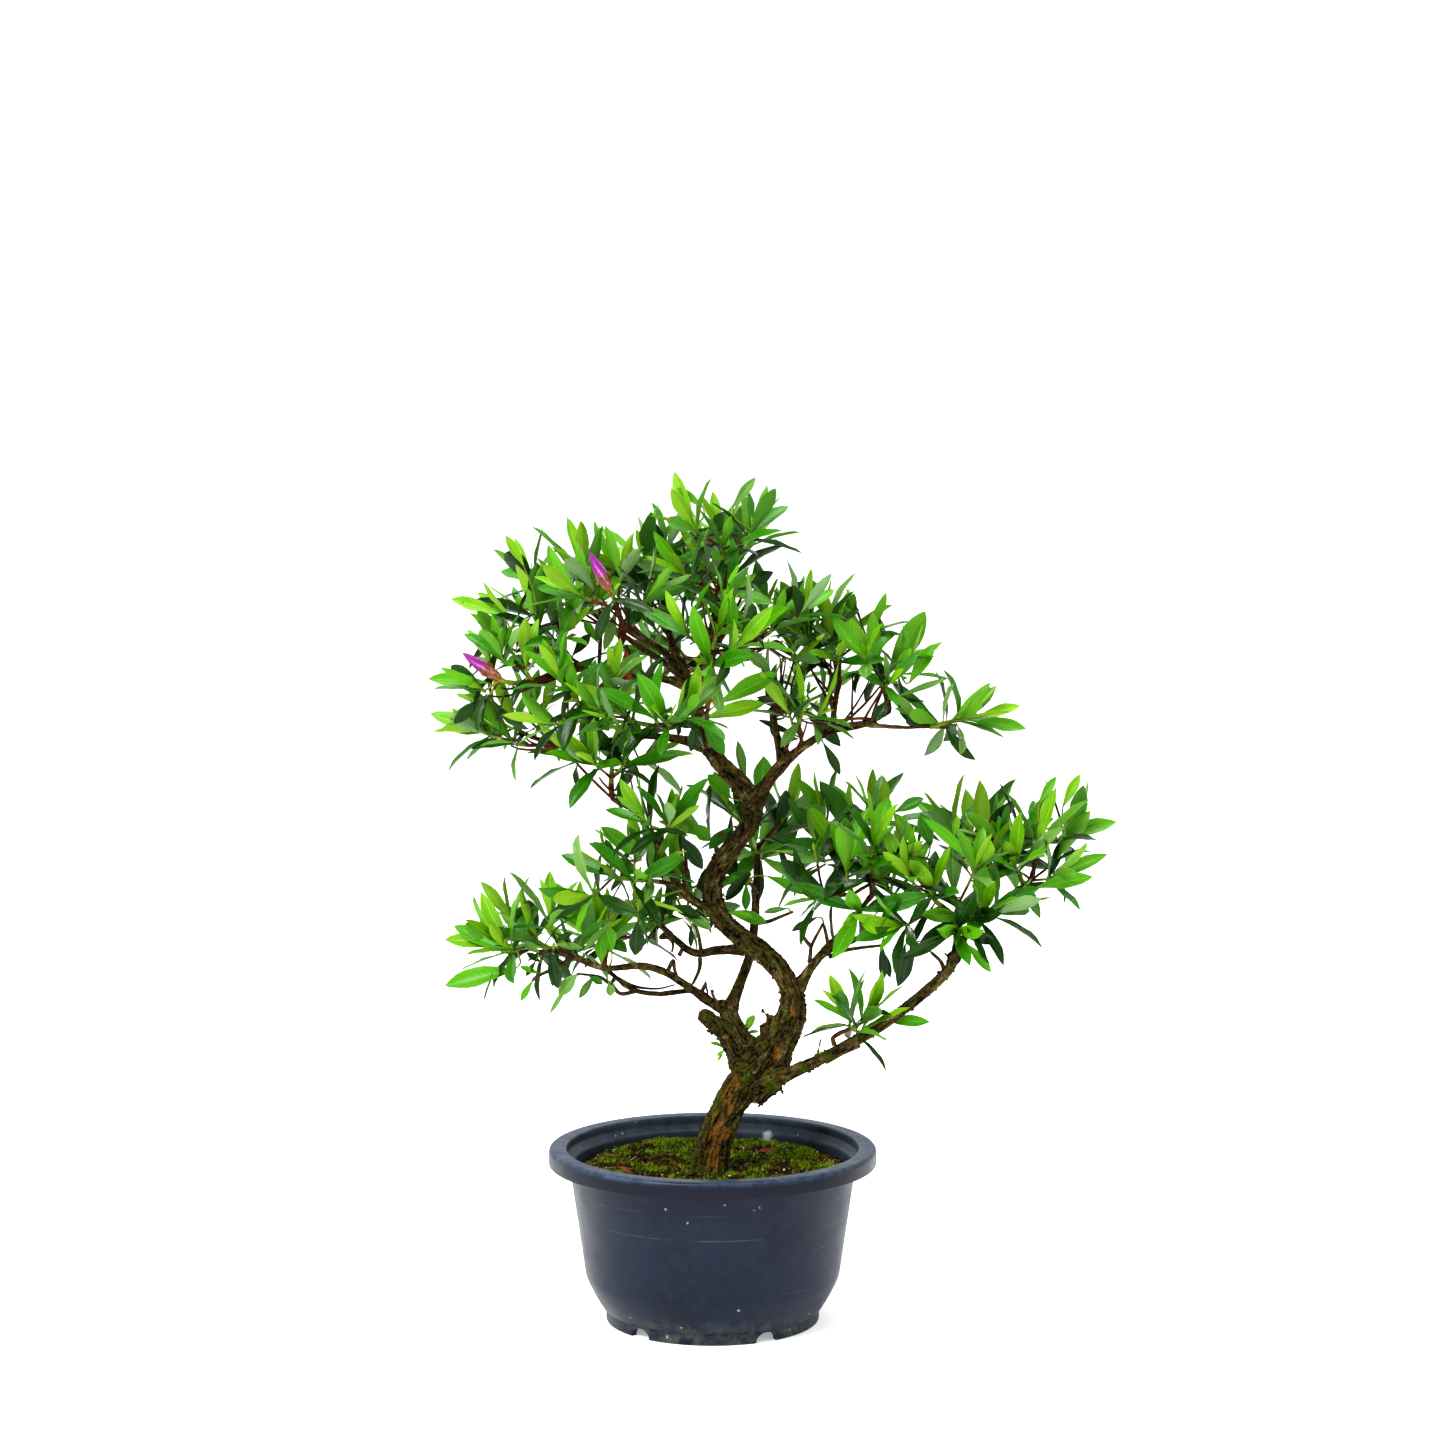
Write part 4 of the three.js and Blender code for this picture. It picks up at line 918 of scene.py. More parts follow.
def noise_at(places, octaves=3):
    """Smooth noise from about -1 to 1 at each place."""
    return np.array([noise.fractal(place, 1.0, 2.0, octaves) for place in places.tolist()])


# The pot


# The plastic's outline from the middle of the boss, round the foot, shoulder, lip and rim, to the
# floor inside, in millimetres from the pot's axis and above its foot; the last is each corner's rounding
POT_OUTLINE = [
    (0, 0, 0), (12, 0, 0.4), (12, 5, 0.6), (54.6, 5, 0.8), (54.6, 0, 0.7), (58.6, 0, 0.9), (58.6, 7, 0.5),
    (60, 7, 0.5), (62.94, 11.67, 0), (65.61, 16.33, 0), (67.9, 20.8, 0), (69.8, 25, 3), (78.8, 87, 0.8),
    (82.4, 89, 0.5), (82.4, 93.8, 0.5), (87.8, 93.8, 0.5), (87.8, 87, 0.6), (90, 87, 0.7), (90, 94.6, 1.6),
    (88.6, 96, 1.6), (80.2, 96, 1.2), (80.2, 91.2, 0.9), (76.2, 87, 0.9), (67.2, 25, 3), (58.6, 8, 3),
    (0, 8, 0),
]
POT_SIDES = 160
# The rim's outer radius and the pot's height, in metres, that the outline is drawn for
RIM_RADIUS = 0.09
POT_HEIGHT = 0.096
NOTCHES = [30 + 72 * k for k in range(5)]
DRAINS = [36 + 72 * k for k in range(5)]


def rounded(outline):
    """An outline with each corner turned into a short curve."""
    points = []
    for k, (r, z, rounding) in enumerate(outline):
        corner = np.array([r, z], float)
        if not rounding:
            points.append(corner)
            continue
        before = np.array(outline[k - 1][:2], float) - corner
        after = np.array(outline[k + 1][:2], float) - corner
        start = corner + before * min(0.45, rounding / np.linalg.norm(before))
        end = corner + after * min(0.45, rounding / np.linalg.norm(after))
        points += [
            (1 - t) ** 2 * start + 2 * t * (1 - t) * corner + t * t * end for t in (0, 0.25, 0.5, 0.75, 1)
        ]
    return np.array(points)


def pot_shape(scale_radius, scale_height):
    outline = rounded(POT_OUTLINE) * (scale_radius, scale_height)
    turns = np.arange(POT_SIDES) * 2 * math.pi / POT_SIDES
    places = [(0, 0, outline[0][1]), (0, 0, outline[-1][1])]
    for r, z in outline[1:-1]:
        places += [(r * math.cos(turn), r * math.sin(turn), z) for turn in turns]
    return places, point_outwards(places, ring_faces(POT_SIDES, len(outline) - 2, 2, 0, 1, turned=True))


def prism(places):
    """A closed bar between two like outlines, whose places follow each other."""
    count = len(places) // 2
    faces = [list(range(count))[::-1], list(range(count, 2 * count))]
    faces += [[k, (k + 1) % count, count + (k + 1) % count, count + k] for k in range(count)]
    return places, point_outwards(places, faces)


def notch_cutter(turn):
    """An arched bar that runs outwards through the foot ring."""
    arch = [(-6.5, -1), (6.5, -1), (6.5, 0.5)]
    arch += [(6.5 * math.cos(a), 0.5 + 5 * math.sin(a)) for a in np.linspace(0, math.pi, 17)[1:-1]]
    arch.append((-6.5, 0.5))
    cos, sin = math.cos(math.radians(turn)), math.sin(math.radians(turn))
    return prism([(x * cos - y * sin, x * sin + y * cos, z) for y in (-50.6, -63.5) for x, z in arch])


def drain_cutter(turn):
    """A round bar, 9 mm across, that runs down through the floor."""
    middle = vector(34 * math.sin(math.radians(turn)), -34 * math.cos(math.radians(turn)), 0)
    return prism([
        middle + vector(4.5 * math.cos(a), 4.5 * math.sin(a), z)
        for z in (2, 12) for a in np.arange(24) * math.pi / 12
    ])


def pot_plastic(settings):
    # Injection-moulded polypropylene, dyed navy right through: a smooth satin skin that weather has
    # dulled, with fine rings from turning on benches, chalky specks of dried water, a paler rim top that is
    # partly worn and partly a painted highlight, and a rim face painted darker as painted shade
    material, tree, shader = new_material("Moulded navy polypropylene", IOR=1.49, Specular_IOR_Level=0.2)
    place = add_node(tree, "ShaderNodeTexCoord").outputs["Object"]
    parts = add_node(tree, "ShaderNodeSeparateXYZ", place).outputs
    squared = add_node(tree, "ShaderNodeVectorMath", place, (1, 1, 0), operation="MULTIPLY")
    radius = add_node(tree, "ShaderNodeVectorMath", squared, operation="LENGTH").outputs["Value"]
    cloudy = add_node(tree, "ShaderNodeTexNoise", place, 26.0, 5.0, 0.65)
    grime = add_node(tree, "ShaderNodeTexNoise", place, 150.0, 6.0, 0.75)
    # Faint rings 1 to 4 mm apart, drawn out round the wall
    flat = add_node(tree, "ShaderNodeVectorMath", place, (14, 14, 900), operation="MULTIPLY")
    rings = add_node(tree, "ShaderNodeTexNoise", flat, 1.0, 3.0, 0.6)
    scuffs = add_node(tree, "ShaderNodeMapRange", rings, 0.66, 0.76, 0.0, 0.5)
    patchy = add_node(tree, "ShaderNodeMapRange", cloudy, 0.5, 0.66, 0.0, 1.0)
    scuffed = add_node(tree, "ShaderNodeMath", scuffs, patchy, operation="MULTIPLY")
    tint = add_node(tree, "ShaderNodeMapRange", cloudy, 0.3, 0.7, 0.0, 1.0)
    # A fine dull mottle all over, as weather leaves it
    mottle = add_node(tree, "ShaderNodeMapRange", grime, 0.47, 0.72, 0.0, 0.24)
    # The rim's top and edge are a paler blue-grey, partly worn and partly a painted highlight where the top
    # faces the light
    up = add_node(tree, "ShaderNodeMapRange", parts[2], 0.0925, 0.0962, 0.0, 0.75)
    wear_and_top_highlight = add_node(tree, "ShaderNodeMath", up, tint, operation="MULTIPLY")
    wear_and_top_highlight = add_node(tree, "ShaderNodeMath", up, 0.25, wear_and_top_highlight, operation="MULTIPLY_ADD")
    uneven = add_node(tree, "ShaderNodeMapRange", grime, 0.38, 0.62, 0.35, 1.3)
    wear_and_top_highlight = add_node(tree, "ShaderNodeMath", wear_and_top_highlight, uneven, operation="MULTIPLY")
    # The rim's outer face is painted a deeper navy as painted shade, and the inner wall has a dry dusty film
    face = add_node(tree, "ShaderNodeMapRange", radius, 0.0888, 0.0896, 0.0, 0.8)
    face = add_node(tree, "ShaderNodeMath", up, -1.6, face, operation="MULTIPLY_ADD")
    # The wall widens by 0.145 mm for each millimetre of its height
    wall = add_node(tree, "ShaderNodeMath", parts[2], -0.145, radius, operation="MULTIPLY_ADD")
    film = add_node(tree, "ShaderNodeMapRange", wall, 0.065, 0.0646, 0.0, 0.3)
    above = add_node(tree, "ShaderNodeMath", parts[2], 0.068, operation="GREATER_THAN")
    film = add_node(tree, "ShaderNodeMath", film, above, operation="MULTIPLY")
    lip = add_node(tree, "ShaderNodeMath", radius, 0.0812, operation="LESS_THAN")
    lifted = add_node(tree, "ShaderNodeMapRange", parts[2], 0.0872, 0.0882, 0.0, 0.4)
    film = add_node(tree, "ShaderNodeMath", lip, lifted, film, operation="MULTIPLY_ADD")
    film = add_node(tree, "ShaderNodeMath", film, tint, operation="MULTIPLY")
    # Behind the trunk a splash of lime water has dried, 4 mm wide
    off = add_node(
        tree, "ShaderNodeVectorMath", place, (0.0308, 0.0705, 0.0856), operation="DISTANCE"
    ).outputs["Value"]
    splash = add_node(tree, "ShaderNodeMath", grime, -0.009, off, operation="MULTIPLY_ADD")
    splash = add_node(tree, "ShaderNodeMapRange", splash, -0.0008, -0.0022, 0.0, 0.9)
    # Green-grey dirt and dried water gather on the foot and on the lower shoulder
    low = add_node(tree, "ShaderNodeMapRange", parts[2], 0.016, 0.004, 0.0, 1.0)
    stained = add_node(tree, "ShaderNodeMapRange", grime, 0.42, 0.62, 0.0, 0.8)
    stained = add_node(tree, "ShaderNodeMath", stained, low, operation="MULTIPLY")
    # Two rings where a stacked pot has rubbed, 75 and 61 mm up, dusty in places
    rubbed = []
    for level in (0.0752, 0.0612):
        off = add_node(tree, "ShaderNodeMath", parts[2], level, operation="SUBTRACT")
        off = add_node(tree, "ShaderNodeMath", off, operation="ABSOLUTE")
        line = add_node(tree, "ShaderNodeMapRange", off, 0.0004, 0.0001, 0.03, 0.19)
        line = add_node(tree, "ShaderNodeMath", line, patchy, operation="MULTIPLY")
        near = add_node(tree, "ShaderNodeMath", off, 0.0004, operation="LESS_THAN")
        rubbed.append(add_node(tree, "ShaderNodeMath", line, near, operation="MULTIPLY"))
    ragged = add_node(tree, "ShaderNodeTexNoise", place, 700.0, 3.0, 0.7)
    # Chalk specks 0.5 to 1.5 mm wide: sparse on the wall, close on the foot, thick on the inner wall
    pushed = add_node(
        tree, "ShaderNodeVectorMath", ragged.outputs["Color"], (0.003,) * 3, place, operation="MULTIPLY_ADD"
    )
    cells = add_node(
        tree, "ShaderNodeTexVoronoi", feature="F1",
        inputs={"Vector": pushed, "Scale": 260.0, "Randomness": 1.0},
    )
    near = add_node(tree, "ShaderNodeMapRange", cells.outputs["Distance"], 0.26, 0.1, 0.0, 1.0)
    chance = add_node(tree, "ShaderNodeSeparateColor", cells.outputs["Color"])
    inner = add_node(tree, "ShaderNodeMapRange", radius, 0.0806, 0.0796, 0.0, 0.06)
    high = add_node(tree, "ShaderNodeMapRange", parts[2], 0.07, 0.08, 0.0, 1.0)
    inner = add_node(tree, "ShaderNodeMath", inner, high, operation="MULTIPLY")
    wanted = add_node(tree, "ShaderNodeMath", low, 0.13, 0.0035, operation="MULTIPLY_ADD")
    wanted = add_node(tree, "ShaderNodeMath", wanted, inner, operation="ADD")
    picked = add_node(tree, "ShaderNodeMath", chance, wanted, operation="LESS_THAN")
    specks = add_node(tree, "ShaderNodeMath", near, picked, operation="MULTIPLY")
    specks = add_node(tree, "ShaderNodeMath", specks, settings.dirt, operation="MULTIPLY")
    # The layers of colour over the plastic's own, from the first to the last
    colour = settings.colour
    for share, over in (
        (tint, "#141e30"), (scuffed, "#5b6774"), (mottle, "#2a343c"), (wear_and_top_highlight, "#4a5a70"), (face, "#020616"),
        (splash, "#b4bcc0"), (film, "#636f7a"), (stained, "#4a5148"), (rubbed[0], "#8a8a70"),
        (rubbed[1], "#8a8a70"), (specks, "#9aa3a2"),
    ):
        colour = add_node(tree, "ShaderNodeMix", share, colour, linear(over), data_type="RGBA")
    rough = add_node(tree, "ShaderNodeMapRange", cloudy, 0.3, 0.7, 0.3, 0.5)
    rough = add_node(tree, "ShaderNodeMath", stained, 0.3, rough, operation="MULTIPLY_ADD")
    height = add_node(tree, "ShaderNodeMath", specks, 1.0, rings, operation="MULTIPLY_ADD")
    bump = add_node(tree, "ShaderNodeBump", inputs={"Strength": 0.25, "Distance": 0.0002, "Height": height})
    set_inputs(tree, shader, {"Base Color": colour, "Roughness": rough, "Normal": bump})
    return material


class PotSettings(bpy.types.PropertyGroup):
    rim_radius: bpy.props.FloatProperty(
        name="Rim radius", description="Outer radius of the pot's rim", unit="LENGTH",
        default=RIM_RADIUS, min=0.05,
    )
    height: bpy.props.FloatProperty(
        name="Height", description="Height of the pot", default=POT_HEIGHT, min=0.05, unit="LENGTH",
    )
    colour: bpy.props.FloatVectorProperty(
        name="Plastic", description="Colour of the plastic", subtype="COLOR",
        default=linear("#0a1224"), min=0, max=1,
    )
    dirt: bpy.props.FloatProperty(
        name="Dried water", description="How strongly chalk specks show", subtype="FACTOR",
        default=0.85, min=0, max=1,
    )


class MakePot(bpy.types.Operator):
    """Makes the training pot: a moulded wall on a notched foot, under a hollow lip"""

    bl_idname = "azalea.pot"
    bl_label = "Pot"

    def execute(self, context):
        settings = context.scene.azalea_pot
        body = object_from("pot body", make_mesh("pot body", *pot_shape(
            settings.rim_radius / RIM_RADIUS, settings.height / POT_HEIGHT
        )))
        cutters = object_from("pot cutters", make_mesh("pot cutters", *joined(
            [notch_cutter(turn) for turn in NOTCHES] + [drain_cutter(turn) for turn in DRAINS]
        )))
        cut = body.modifiers.new("Notches and drains", "BOOLEAN")
        cut.operation = "DIFFERENCE"
        cut.solver = "EXACT"
        cut.object = cutters
        mesh = evaluated_mesh("training_pot", body)
        bpy.data.objects.remove(cutters)
        mesh.shade_smooth()
        mesh.set_sharp_from_angle(angle=math.radians(40))
        finish_piece("training_pot", mesh, pot_plastic(settings), ["pot"])
        return {"FINISHED"}


# Soil, moss, crumbs, grains and straw


def soil_height(x, y):
    """How high the mossy soil stands at each place, in millimetres."""
    far = np.hypot(x, y)
    spots = np.stack([x / 26, y / 26, np.full_like(x, 4.2)], axis=1)
    fine = np.stack([x / 5.5, y / 5.5, np.full_like(x, 9.1)], axis=1)
    mound = 1.3 * np.exp(-((x - 44) ** 2 + (y - 42) ** 2) / 900)
    swell = 2 * np.exp(-((x + 30) ** 2 + (y - 48) ** 2) / 700)
    collar = 3.2 * np.exp(-np.hypot(x + 2.5, y + 14) / 9)
    edge = np.clip((far - 60) / 16, 0, 1) ** 2
    uneven = 1.9 * noise_at(spots) + 0.9 * noise_at(fine)
    return SOIL_TOP - 1.2 + uneven + (mound + swell) + collar - 3.2 * edge


def moss_cover(x, y):
    """From bare soil, 0, to thick moss, 1."""
    patches = noise_at(np.stack([x / 15, y / 15, np.full_like(x, 21.7)], axis=1))
    fine = noise_at(np.stack([x / 4, y / 4, np.full_like(x, 2.4)], axis=1))
    return np.clip(0.42 + 1.7 * patches + 0.6 * fine, 0, 1)


def soil_mesh():
    """The soil: a mound of rings that the pot's inside closes round, with a flat underside."""
    sides, rings = 144, 58
    turns = np.arange(sides) * 2 * math.pi / sides
    top_radius = 75.2
    radii = top_radius * np.linspace(0, 1, rings + 1)[1:]
    x = np.concatenate([[0], np.outer(radii, np.cos(turns)).ravel()])
    y = np.concatenate([[0], np.outer(radii, np.sin(turns)).ravel()])
    z = soil_height(x, y)
    places = list(zip(x, y, z))
    faces = []
    for j in range(sides):
        after = (j + 1) % sides
        faces.append([0, 1 + j, 1 + after])
        for k in range(rings - 1):
            low = 1 + k * sides
            faces.append([low + j, low + sides + j, low + sides + after, low + after])
    last = 1 + (rings - 1) * sides
    for radius, height in ((66.9, 25), (58.1, 8.4)):
        start = len(places)
        places += [(radius * math.cos(turn), radius * math.sin(turn), height) for turn in turns]
        for j in range(sides):
            after = (j + 1) % sides
            faces.append([last + j, start + j, start + after, last + after])
        last = start
    places.append((0, 0, 8.4))
    faces += [[len(places) - 1, last + (j + 1) % sides, last + j] for j in range(sides)]
    mesh = make_mesh("soil", places, faces)
    count = len(x)
    cover = np.zeros(len(places))
    cover[:count] = moss_cover(x, y)
    ground = np.zeros(len(places))
    ground[:count] = np.hypot(x, y) < 73.5
    set_attribute(mesh, "moss", cover)
    set_attribute(mesh, "thick", cover**2 * ground)
    set_attribute(mesh, "thin", (0.15 + cover) * ground)
    set_attribute(mesh, "bare", (1.1 - cover) * ground)
    set_attribute(mesh, "anywhere", ground)
    return mesh


def spike(base, tip, width, turn, sides=3):
    """A thin closed pyramid from a base to a tip, both in millimetres."""
    base, tip = np.asarray(base, float), np.asarray(tip, float)
    ring_at = round_axis(unit(tip - base), 0.3, 0.9, 0.2)
    corners = [base + ring_at(a) * width / 2 for a in turn + np.arange(sides) * 2 * math.pi / sides]
    faces = [list(range(sides))] + [[k, (k + 1) % sides, sides] for k in range(sides)]
    places = [*corners, tip]
    return places, point_outwards(places, faces)


def moss_tuft(seed, height, blades, width):
    """A tuft of moss: short pointed blades that spread from one spot, in metres ready to be copied."""
    following = random_stream(seed)
    shapes = []
    for k in range(blades):
        turn = 2 * math.pi * (k + following()) / blades
        lean = 0.25 + 0.75 * following()
        tall = height * (0.6 + 0.5 * following())
        out = vector(math.cos(turn), math.sin(turn), 0)
        shapes.append(spike(out * 0.15, out * lean * tall + vector(0, 0, tall), width, turn))
    return joined(shapes)


def crumb(seed, size):
    """A lump of soil: a small ball with dents."""
    following = random_stream(seed)
    places, faces = ball((0, 0, size * 0.25), size / 2, rings=4, sides=6)
    middle = places.mean(0)
    places = np.array([middle + (place - middle) * (0.7 + 0.55 * following()) for place in places])
    return places, faces


def straw(length, width, bend):
    """A bent bit of straw or a needle that lies on the soil."""
    steps = np.linspace(-0.5, 0.5, 5)
    line = [(length * t, bend * math.cos(3 * t), 0.4, width / 2) for t in steps]
    return tube(line, 5)


def soil_material(settings):
    # Peat and fine bark that has rotted to dark crumbs, with a thin green skin of moss and algae
    material, tree, shader = new_material("Mossy peat soil", Roughness=0.95, Specular_IOR_Level=0.05)
    place = add_node(tree, "ShaderNodeTexCoord").outputs["Object"]
    grit = add_node(tree, "ShaderNodeTexNoise", place, 420.0, 6.0, 0.8)
    shade = add_node(tree, "ShaderNodeMapRange", grit, 0.35, 0.65, 0.0, 1.0)
    soil = add_node(tree, "ShaderNodeMix", shade, linear("#060400"), linear("#2e240c"), data_type="RGBA")
    skin = add_node(tree, "ShaderNodeMix", shade, linear("#111a03"), settings.moss, data_type="RGBA")
    moss = add_node(tree, "ShaderNodeAttribute", attribute_name="moss").outputs["Fac"]
    colour = add_node(tree, "ShaderNodeMix", moss, soil, skin, data_type="RGBA")
    bump = add_node(tree, "ShaderNodeBump", inputs={"Strength": 0.9, "Distance": 0.0012, "Height": grit})
    set_inputs(tree, shader, {"Base Color": colour, "Normal": bump})
    return material


def plain_natural(name, dark, light, scale, roughness):
    """A dull natural stuff whose colour wanders between two shades, over patches of a size."""
    material, tree, shader = new_material(name, Roughness=roughness, Specular_IOR_Level=0.08)
    place = add_node(tree, "ShaderNodeTexCoord").outputs["Object"]
    patches = add_node(tree, "ShaderNodeTexNoise", place, scale, 3.0, 0.7)
    share = add_node(tree, "ShaderNodeMapRange", patches, 0.36, 0.64, 0.0, 1.0)
    colour = add_node(tree, "ShaderNodeMix", share, linear(dark), linear(light), data_type="RGBA")
    set_inputs(tree, shader, {"Base Color": colour})
    return material


class SoilSettings(bpy.types.PropertyGroup):
    moss: bpy.props.FloatVectorProperty(
        name="Moss skin", description="Colour of the thin moss on the soil", subtype="COLOR",
        default=linear("#38480a"), min=0, max=1,
    )
    tufts: bpy.props.FloatProperty(
        name="Moss tufts", description="Tufts of moss for each square metre", default=260000, min=0,
    )
    crumbs: bpy.props.FloatProperty(
        name="Crumbs", description="Crumbs of soil for each square metre", default=90000, min=0,
    )


class MakeSoil(bpy.types.Operator):
    """Makes the soil with its moss, crumbs, pale grains and bits of straw"""

    bl_idname = "azalea.soil"
    bl_label = "Soil and moss"

    def execute(self, context):
        settings = context.scene.azalea_soil
        surface = soil_mesh()
        finish_piece("soil_bed", surface.copy(), soil_material(settings), ["soil"])
        # Cushion moss: soft bright green points, one to three millimetres long
        green = plain_natural("Cushion moss", "#0e2400", "#74900a", 130, 0.85)
        olive = plain_natural("Dry olive moss", "#1e1e02", "#8a8420", 140, 0.9)
        peat = plain_natural("Peat crumbs", "#120c03", "#5c4a20", 200, 0.95)
        # Pumice and lime grains among the soil, which stay almost white
        grit = plain_natural("Pumice grains", "#a79b84", "#e4dfd0", 300, 0.8)
        # Dead needles and grass, bleached by the weather
        dry = plain_natural("Weathered straw", "#6e5a38", "#b39c6a", 150, 0.7)
        tufts = settings.tufts
        layers = [
            ("moss_bright", moss_tuft(3, 2.3, 7, 0.55), green, "thick", tufts, 0.5, 1.2, 0.45, 11),
            ("moss_olive", moss_tuft(8, 1.9, 6, 0.5), olive, "thin", tufts * 0.4, 0.5, 1.2, 0.6, 12),
            ("soil_crumbs", crumb(5, 1.7), peat, "bare", settings.crumbs, 0.4, 1.7, 3.0, 13),
            ("pale_grains", crumb(6, 1.1), grit, "anywhere", 11000, 0.35, 1.3, 3.0, 14),
            ("straw_bits", straw(9, 0.5, 1.2), dry, "anywhere", 2600, 0.4, 1.2, 0.3, 15),
        ]
        for name, piece, material, where, density, smallest, largest, tilt, seed in layers:
            mesh = scattered(
                name, surface, piece, material, where=where, per_square_metre=density,
                seed=seed, smallest=smallest, largest=largest, tilt=tilt,
            )
            finish_piece(name, mesh, material, ["soil"])
        return {"FINISHED"}


# Bark on the trunk and boughs


# The grain of the two skins of bark, in millimetres; finer ones would pass 200,000 triangles
TRUNK_GRAIN = 0.545
BOUGH_GRAIN = 0.56
# Limbs that the trunk's own bark runs on to without a seam
TRUNK_LIMBS = ["trunk", "left_trunk", "cut_stub", "low_right_bough"]
# Burls and knobs: middle and radius
KNOBS = [
    (28, -8, 133, 6), (24, -9, 127, 4.4), (33, -9, 136.5, 4.2), (29.5, -9, 162, 4), (27, -9, 156, 3.6),
    (32, -10, 167.5, 2.6), (38.5, -8, 145.5, 5), (19, -5, 145, 3.4), (5, 8, 172.5, 3.4), (9, 12, 169, 4.6),
    (130.5, -21, 204, 4), (44.5, -8, 182, 4.6), (21, -8, 283, 5), (-7.5, 4, 331, 4.6), (-11, 6, 344, 4.2),
    (17, 3, 208, 4.6), (3.5, 6, 222, 5.2),
]
# Dead stubs and thorns: foot, tip and width at the foot
STUBS = [
    ((19, -4, 144), (19.6, -5, 151.5), 4), ((-2.6, 8, 179), (-4.6, 12, 187), 1.8),
    ((2.4, 8, 174), (-1, 9, 181), 1.7), ((56.6, -19, 149), (59, -16, 159.5), 1.5),
    ((2, 2, 158), (-3.4, 2, 160), 2.2), ((31, -9, 169), (27, -9, 172.6), 2.4),
    ((36, -10, 131), (38.4, -11, 127.4), 2.6), ((44, -10, 142), (47.5, -10, 144.5), 2.4),
    ((129, -22, 203), (125.4, -22, 206.4), 2.2), ((134, -18, 214), (129.6, -19, 216.6), 2),
    ((8, -8, 268), (2.6, -10, 270), 2.4), ((-4, 6, 240), (-8.6, 6, 243.4), 2),
]
# Patches where the old bark has flaked off to the ochre below: middle, half width and half height
OCHRE = [
    (0, -22, 98, 4.6, 12), (4, -20, 110, 5, 10), (8.5, -18, 124, 3.6, 9), (13, -17, 134, 2.4, 5),
    (35, -15, 150, 1.8, 4.6), (44, -15, 176, 1.5, 4.2), (42, -16, 186, 1.3, 3),
]


def limb_table(names):
    """The segments of some limbs with a frame and the way along at each end."""
    plant, _, _ = grown()
    rows = []
    for number, name in enumerate(names):
        line = plant.lines[name]
        side, other = transported(line)
        far = np.concatenate([[0], np.cumsum(np.linalg.norm(np.diff(line[:, :3], axis=0), axis=1))])
        far += 61.7 * number
        ends = np.hstack([line, side, other, far[:, None]])
        rows.append(np.hstack([ends[:-1], ends[1:]]))
    return np.vstack(rows)


def limb_places(points, names):
    """Each point's place on its nearest limb: across it twice, along it, and the limb's radius there."""
    table = limb_table(names)
    width = table.shape[1] // 2
    low, high = table[:, :width], table[:, width:]
    found = np.empty((len(points), 4))
    along = high[:, :3] - low[:, :3]
    square = (along * along).sum(1)
    for first in range(0, len(points), 4000):
        own = points[first:first + 4000]
        off = own[:, None, :] - low[None, :, :3]
        t = np.clip((off * along).sum(-1) / square, 0, 1)
        away = np.linalg.norm(off - along * t[..., None], axis=-1)
        radius = low[:, 3] + (high[:, 3] - low[:, 3]) * t
        pick = (away - radius).argmin(1)
        rows = np.arange(len(own))
        share = t[rows, pick][:, None]
        here = low[pick] + (high[pick] - low[pick]) * share
        out = own - here[:, :3]
        found[first:first + 4000, 0] = (out * here[:, 4:7]).sum(1)
        found[first:first + 4000, 1] = (out * here[:, 7:10]).sum(1)
        found[first:first + 4000, 2] = here[:, 10]
        found[first:first + 4000, 3] = here[:, 3]
    return found


def root_swell(row, turn):
    fade = math.exp(-max(0, row[2] - SOIL_TOP) / 7)
    ridges = 0.05 * math.sin(3 * turn + row[2] / 17) + 0.04 * math.sin(5 * turn - row[2] / 11)
    return 1 + 0.34 * fade * (0.55 + 0.45 * math.cos(5 * turn)) + ridges


def limb_shapes(names):
    """Tubes for some limbs, each a little thicker where it leaves the one that carries it."""
    plant, _, _ = grown()
    shapes = []
    for name in names:
        line = plant.lines[name].copy()
        others = np.vstack([segments(other) for key, other in plant.lines.items() if key != name])
        gap = np.maximum(gap_to(line[:, :3], others), 0)
        base = np.clip(1.6 - 4 * np.arange(len(line)) / len(line), 0, 1)
        if name != "trunk":
            line[:, 3] *= 1 + 0.5 * base * np.exp(-gap / (1.4 * line[:, 3]))
        sides = 20 if name in TRUNK_LIMBS else 10
        swell = root_swell if name == "trunk" else None
        shapes.append(tube(line, sides, swell, round_tip=name != "cut_stub"))
    return shapes


